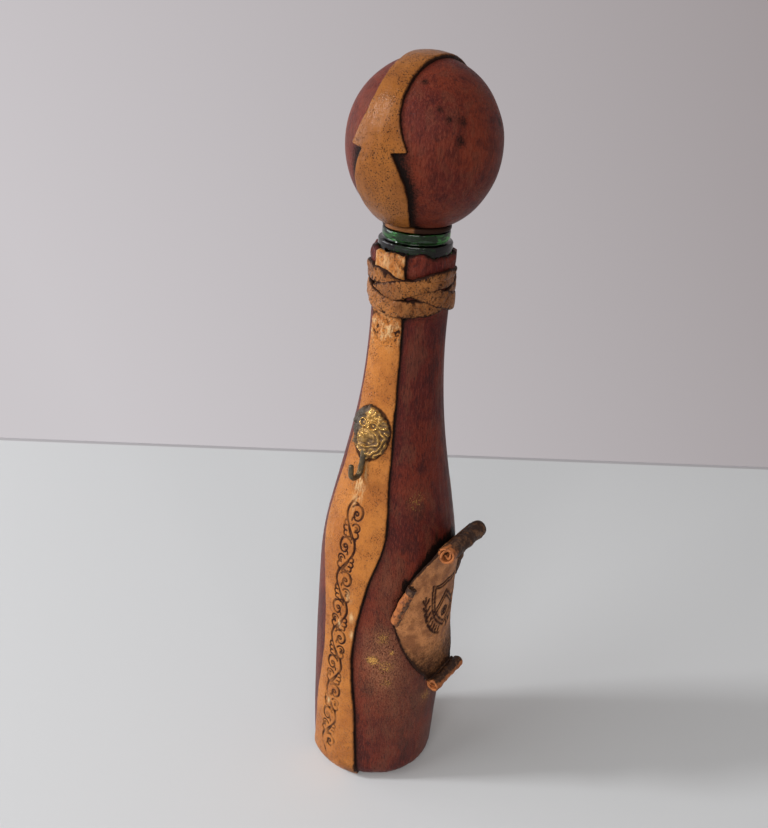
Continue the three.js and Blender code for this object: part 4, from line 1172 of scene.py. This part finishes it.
def lion_mask():
    reach = np.linspace(0.0, 1.0, 110)[:, None] ** 0.9
    turn = np.linspace(0, TURN, 361)[None, :]
    lobes = 1 + 0.06 * ring_noise(turn, 3.4, 71, 5, 5) + 0.07 * ring_noise(turn, 7, 72, 9, 9)
    lobes -= 0.20 * bump(turn - 0.95, 0, 0.45, 1) + 0.08 * bump(turn - 1.9, 0, 0.5, 1)
    u = -reach * np.cos(turn) * lobes * MASK_WIDTH / 2
    v = -reach * np.sin(turn) * lobes * MASK_HEIGHT / 2
    height = np.maximum(lion_relief(u, v, reach, turn), 0.5) * rounded(1 - reach, 0.06)
    # The mask's left side is darker: patina and painted shade
    cold = smooth(-2.2, -6.5, u - 0.25 * v)
    high = 1.4 * (height - softened(height, 8)) + 0.12 * (height - 2.6)
    # Rubbed bright on the forehead, also a painted highlight there, and painted shade beside the muzzle
    high += 0.12 - 0.9 * cold + 0.4 * bump(u - 2, v - 8, 3.5, 4) - 0.22 * bump(u - 3, v + 3.5, 4, 3.5)
    for eye_u, eye_v in EYES:
        away = np.hypot(u - eye_u, v - eye_v)
        high += 0.5 * bump(away - EYE_RADIUS, 0, 0.5, 1) - 0.6 * bump(away - 0.9, 0, 0.35, 1)
    solid = slab(mask_point(u, v, height)[::-1], mask_point(u, v, -0.1)[::-1], closed=True)
    piece("lion_mask_brass", "lion_mask", "old_brass", solid, old_brass("mask_brass", MASK_BRASS),
          high=high[::-1], cold=cold[::-1])


def cup_hook():
    wire = HOOK_WIRE / 2
    chin = -MASK_HEIGHT / 2 + HOOK_UNDER_MASK
    start, below = [mask_point(0.0, v, wire + GAP) for v in (chin, chin - HOOK_SHANK)]
    along = unit(below - start)
    out = round_axis(MASK_AZIMUTH, 1.0, 0.0)
    out = unit(out - along * out.dot(along))
    angle = np.linspace(0, HOOK_TURN, 40)[:, None]
    bend = below + out * HOOK_BEND_RADIUS + HOOK_BEND_RADIUS * (np.sin(angle) * along - np.cos(angle) * out)
    rising = math.cos(HOOK_TURN) * along + math.sin(HOOK_TURN) * out
    shank = start + np.linspace(0, 1, 24)[:-1, None] * (below - start)
    tip = bend[-1] + np.linspace(0, HOOK_TIP, 22)[1:, None] * rising
    path = np.concatenate([shank, bend, tip])
    length = np.linspace(0, 1, len(path))
    radii = wire * (1.16 - 0.16 * length) * np.sqrt(np.clip((1.003 - length) / 0.045, 0.02, 1))
    radii[[0, -1]] = 0.0
    points, faces = tube(path, radii, 20)
    high = 0.25 * noise(points[:, 2] * 0.9, points[:, 1] * 0.9, 81) + 0.1
    material = old_brass("hook_brass", HOOK_BRASS)
    piece("cup_hook_brass", "cup_hook", "old_brass", (points, faces), material, high=high)


# Stopper
def on_ball(polar, azimuth, lift):
    """Points of the ball by angle from the crown and azimuth, lifted off the leather."""
    z = BALL_Z + np.cos(polar) * (BALL_HALF_HEIGHT + lift)
    return round_axis(azimuth + STOPPER_TURN, np.sin(polar) * (BALL_RADIUS + lift), z)


def strip_half_angle(polar):
    """Half width of the ball's strip as an angle, at degrees from the crown."""
    polar = np.abs(polar)
    barb = hermite(BARB_POLAR, BARB_HALF_ANGLE, polar)
    notch = hermite(NOTCH_POLAR, NOTCH_HALF_ANGLE, polar)
    return barb + (notch - barb) * smooth(BARB_POLAR[-1], NOTCH_POLAR[0], polar)


def ball_half(name, node, seam):
    lowest = math.acos(-BALL_SEAT / BALL_HALF_HEIGHT)
    polar = np.linspace(lowest, 4 * DEGREE, 110)[:, None]
    azimuth = half_round(seam, np.arcsin(GAP / 2 / (BALL_RADIUS * np.sin(polar))), 110)
    direction = on_ball(polar, azimuth - STOPPER_TURN, 0) - (0, 0, BALL_Z)
    side = np.arcsin(np.clip(direction[..., 1] / BALL_RADIUS, -1, 1)) / DEGREE
    along = np.arctan2(np.abs(direction[..., 0]), direction[..., 2]) / DEGREE
    # Sooty stain and painted shade beside the strip, widest below its notch; the blots are stains
    beside = np.maximum((np.abs(side) - strip_half_angle(along)) * DEGREE * BALL_RADIUS, 0)
    below = smooth(BARB_POLAR[-1], NOTCH_POLAR[0], along)
    stain_and_shade_width = 9.5 - 4.6 * smooth(NOTCH_POLAR[0], NOTCH_POLAR[2], along)
    soot = 0.7 * fade(beside, 0.3) + 0.3 * fade(beside, 2.2) + 0.8 * below * bump(beside, 0, stain_and_shade_width, 1)
    for spot_polar, spot_azimuth, size in BALL_BLOTS:
        turn = around(azimuth + STOPPER_TURN - spot_azimuth * DEGREE)
        across, down = turn * np.sin(polar) * BALL_RADIUS, (polar - spot_polar * DEGREE) * BALL_RADIUS
        soot += 0.72 * bump(across, down, 1.3 * size, 1.3 * size)
    relief = 0.16 * noise(direction[..., 0] / 9, direction[..., 2] / 9, 91)
    outer = on_ball(polar, azimuth, relief * rounded(lowest - polar, 0.1))
    material = maroon_leather(name, BALL_TINT, 0.7, (0.16, 0.16, 0.10), (1.3, 1.3, 0.30), 0.11)
    piece(name, node, "maroon_leather", slab(outer, on_ball(polar, azimuth, -1.5)), material, soot=soot)


def ball_strip():
    last = NOTCH_POLAR[-1]
    down = np.concatenate([np.linspace(0, 82, 90)[:-1], np.linspace(82, 95, 60)[:-1],
                           np.linspace(95, last, 70)])
    polar = np.concatenate([-down[:0:-1], down])[:, None]
    half = strip_half_angle(polar) + 0.25 * noise(polar / 5, 0, 95)
    side = edge_spaced(61)[None, :] * half
    east, north = polar * DEGREE, side * DEGREE
    x, y = np.sin(east) * np.cos(north), -np.sin(north)
    border = np.minimum(half - np.abs(side), last - np.abs(polar)) * DEGREE * BALL_RADIUS
    relief = 0.10 * noise(side / 6, polar / 8, 96) + 0.05 * noise(side / 2, polar / 2.5, 97)

    def skin(lift):
        turn_x = x * math.cos(STOPPER_TURN) - y * math.sin(STOPPER_TURN)
        turn_y = x * math.sin(STOPPER_TURN) + y * math.cos(STOPPER_TURN)
        wide, tall = BALL_RADIUS + lift, BALL_HALF_HEIGHT + lift
        return np.stack([turn_x * wide, turn_y * wide, BALL_Z + np.cos(east) * np.cos(north) * tall], -1)

    outer = skin(BALL_STRIP * rounded(border, 0.8) + relief * rounded(border, 2) - 0.12)
    # Sooty stain and painted shade along the strip's edges
    soot = 0.9 * fade(border, 0.35) + 0.25 * fade(border, 2.0)
    pits = 0.14 + 0.6 * bump(side, np.abs(polar) - 20, 9, 14)
    for aside, along, wide, tall, strength in BALL_PORES:
        pits += strength * bump(side - aside, polar - along, wide, tall)
    material = tan_leather("ball_strip_leather", BALL_STRIP_TAN, 1.0, 0.19, 0.15)
    piece("ball_strip_leather", "stopper_strip", "tan_leather", slab(outer, skin(-0.6)), material,
          soot=soot, pits=pits)


def eased(radius, z, way):
    """Points of an eased edge, from the face at a height to the side; way is 1 on a foot and -1 on a top."""
    return [(radius - EDGE, z), (radius - EDGE_NICK, z + way * EDGE_NICK), (radius, z + way * EDGE)]


def small_turnings():
    """Sole, washer and cork, and wood for the core."""
    sole = [(0, 0), *eased(SOLE_RADIUS, 0, 1), (SOLE_RADIUS, SOLE_TOP), (0, SOLE_TOP)]
    piece("sole_leather", "sole", "brown_leather", turned(sole, 96), plain_fibre("sole_suede", SUEDE, 0.8))
    hole = CORK_RADIUS + GAP / 2
    washer = [(hole, WASHER_TOP), (hole, WASHER_FOOT), *eased(WASHER_RADIUS, WASHER_FOOT, 1),
              *eased(WASHER_RADIUS, WASHER_TOP, -1)[::-1], (hole, WASHER_TOP)]
    segments = 96
    azimuth = np.linspace(0, TURN, segments + 1) - STOPPER_TURN
    tail = math.sin(NOTCH_HALF_ANGLE[-1] * DEGREE) * BALL_RADIUS
    soot = 0.95 * smooth(tail - 0.8, tail + 0.2, np.abs(np.cos(azimuth)) * WASHER_RADIUS)
    piece("stopper_washer_leather", "stopper_washer", "brown_leather", turned(washer, segments),
          tan_leather("washer_leather", WASHER_TAN), soot=np.tile(soot, len(washer)))
    cork = [(0, CORK_FOOT), (CORK_RADIUS - CORK_CHAMFER, CORK_FOOT), (CORK_RADIUS, CORK_FOOT + CORK_CHAMFER),
            (CORK_RADIUS, CORK_TOP), (0, CORK_TOP)]
    piece("stopper_cork_plug", "stopper_cork", "cork", turned(cork, 64), plain_fibre("cork", CORK, 0.5))
    core = frame["nodes"]["stopper_core"].data
    core.materials.clear()
    core.materials.append(plain_fibre("core_wood", WOOD, (0.9, 0.9, 0.06)))


# Stage
def level_axes(yaw):
    """Directions ahead and to the right at a yaw, on the level."""
    return np.array([-math.sin(yaw), math.cos(yaw), 0.0]), np.array([math.cos(yaw), math.sin(yaw), 0.0])


def stage():
    """Pale table, its far edge behind the decanter as the camera sees it."""
    ahead, aside = level_axes(CAMERA_YAW + TABLE_TURN)
    depth, side = np.meshgrid((TABLE_NEAR, TABLE_FAR), (-TABLE_HALF, TABLE_HALF), indexing="ij")
    top = depth[..., None] * ahead + side[..., None] * aside
    mesh = bpy.data.meshes.new("table")
    points, faces = slab(top, top - (0, 0, TABLE_THICK))
    mesh.from_pydata(points, [], faces)
    shader = Shader("table")
    # Painted shade line along the far edge
    start, full = [TABLE_FAR - rim for rim in TABLE_RIM]
    edge = shader.vector("DOT_PRODUCT", "Value", shader.place, ahead).between(start, full)
    shader.ground(edge, TABLE_TOP, TABLE_EDGE_SHADE)
    mesh.materials.append(shader.finished(Roughness=1.0, Specular_IOR_Level=0.0))
    table = placed("table", mesh)


def lights():
    for name, place, size, power, colour, mirrored in LAMPS:
        data = bpy.data.lights.new(name, "AREA")
        data.size = size
        data.energy = power
        data.color = colour
        made = placed(name, data)
        made.location = place
        made.rotation_euler = (LAMP_TARGET - Vector(place)).to_track_quat("-Z", "Y").to_euler()
        made.visible_glossy = mirrored


def room():
    """Soft light from all round; the camera, mirrors and glass see a pale room that darkens to the right, as
    painted shade.
    """
    world = bpy.data.worlds.new("room")
    nodes = Nodes(world)
    light = nodes.tree.nodes["Background"]
    nodes.put(light.inputs["Color"], ROOM_LIGHT)
    nodes.put(light.inputs["Strength"], ROOM_STRENGTH)
    darker = level_axes(CAMERA_YAW)[1] + (0, 0, WALL_RISE)
    across = nodes.vector("DOT_PRODUCT", "Value", nodes.add("TexCoord", "Generated"), darker)
    share = nodes.add("MapRange", "Result", Value=across, From_Min=WALL_SPAN[0], From_Max=WALL_SPAN[1])
    walls = nodes.add("Background", "Background", Color=nodes.mix(share, *WALLS))
    seen = nodes.add("LightPath", "Is Camera Ray")
    for ray in ("Is Glossy Ray", "Is Transmission Ray"):
        seen = seen.or_more(nodes.add("LightPath", ray))
    mixed = nodes.add("MixShader", "Shader", seen, Field(nodes, light.outputs["Background"]), walls)
    nodes.put(nodes.tree.nodes["World Output"].inputs["Surface"], mixed)
    bpy.context.scene.world = world


def camera():
    data = bpy.data.cameras.new("camera")
    data.lens = CAMERA_LENS
    data.sensor_width = SENSOR
    made = placed("camera", data)
    turn = Matrix.Rotation(CAMERA_YAW, 4, "Z") @ Matrix.Rotation(TURN / 4 - CAMERA_PITCH, 4, "X")
    made.matrix_world = Matrix.Translation(CAMERA_PLACE) @ turn @ Matrix.Rotation(CAMERA_ROLL, 4, "Z")
    bpy.context.scene.camera = made


camera()
glass_bottle()
wrap_half("front_wrap_leather", "front_wrap", LEFT_SEAM)
wrap_half("back_wrap_leather", "back_wrap", RIGHT_SEAM)
seam_strip("left_strip_leather", "left_strip", LEFT_SEAM, vine=True)
seam_strip("right_strip_leather", "right_strip", RIGHT_SEAM, vine=False)
for thong in range(THONG_COUNT):
    neck_thong(thong)
scroll_plaque()
lion_mask()
cup_hook()
ball_half("ball_front_leather", "stopper_front_leather", LEFT_SEAM)
ball_half("ball_back_leather", "stopper_back_leather", RIGHT_SEAM)
ball_strip()
small_turnings()
stage()
lights()
room()
bpy.context.scene.view_settings.view_transform = "Standard"
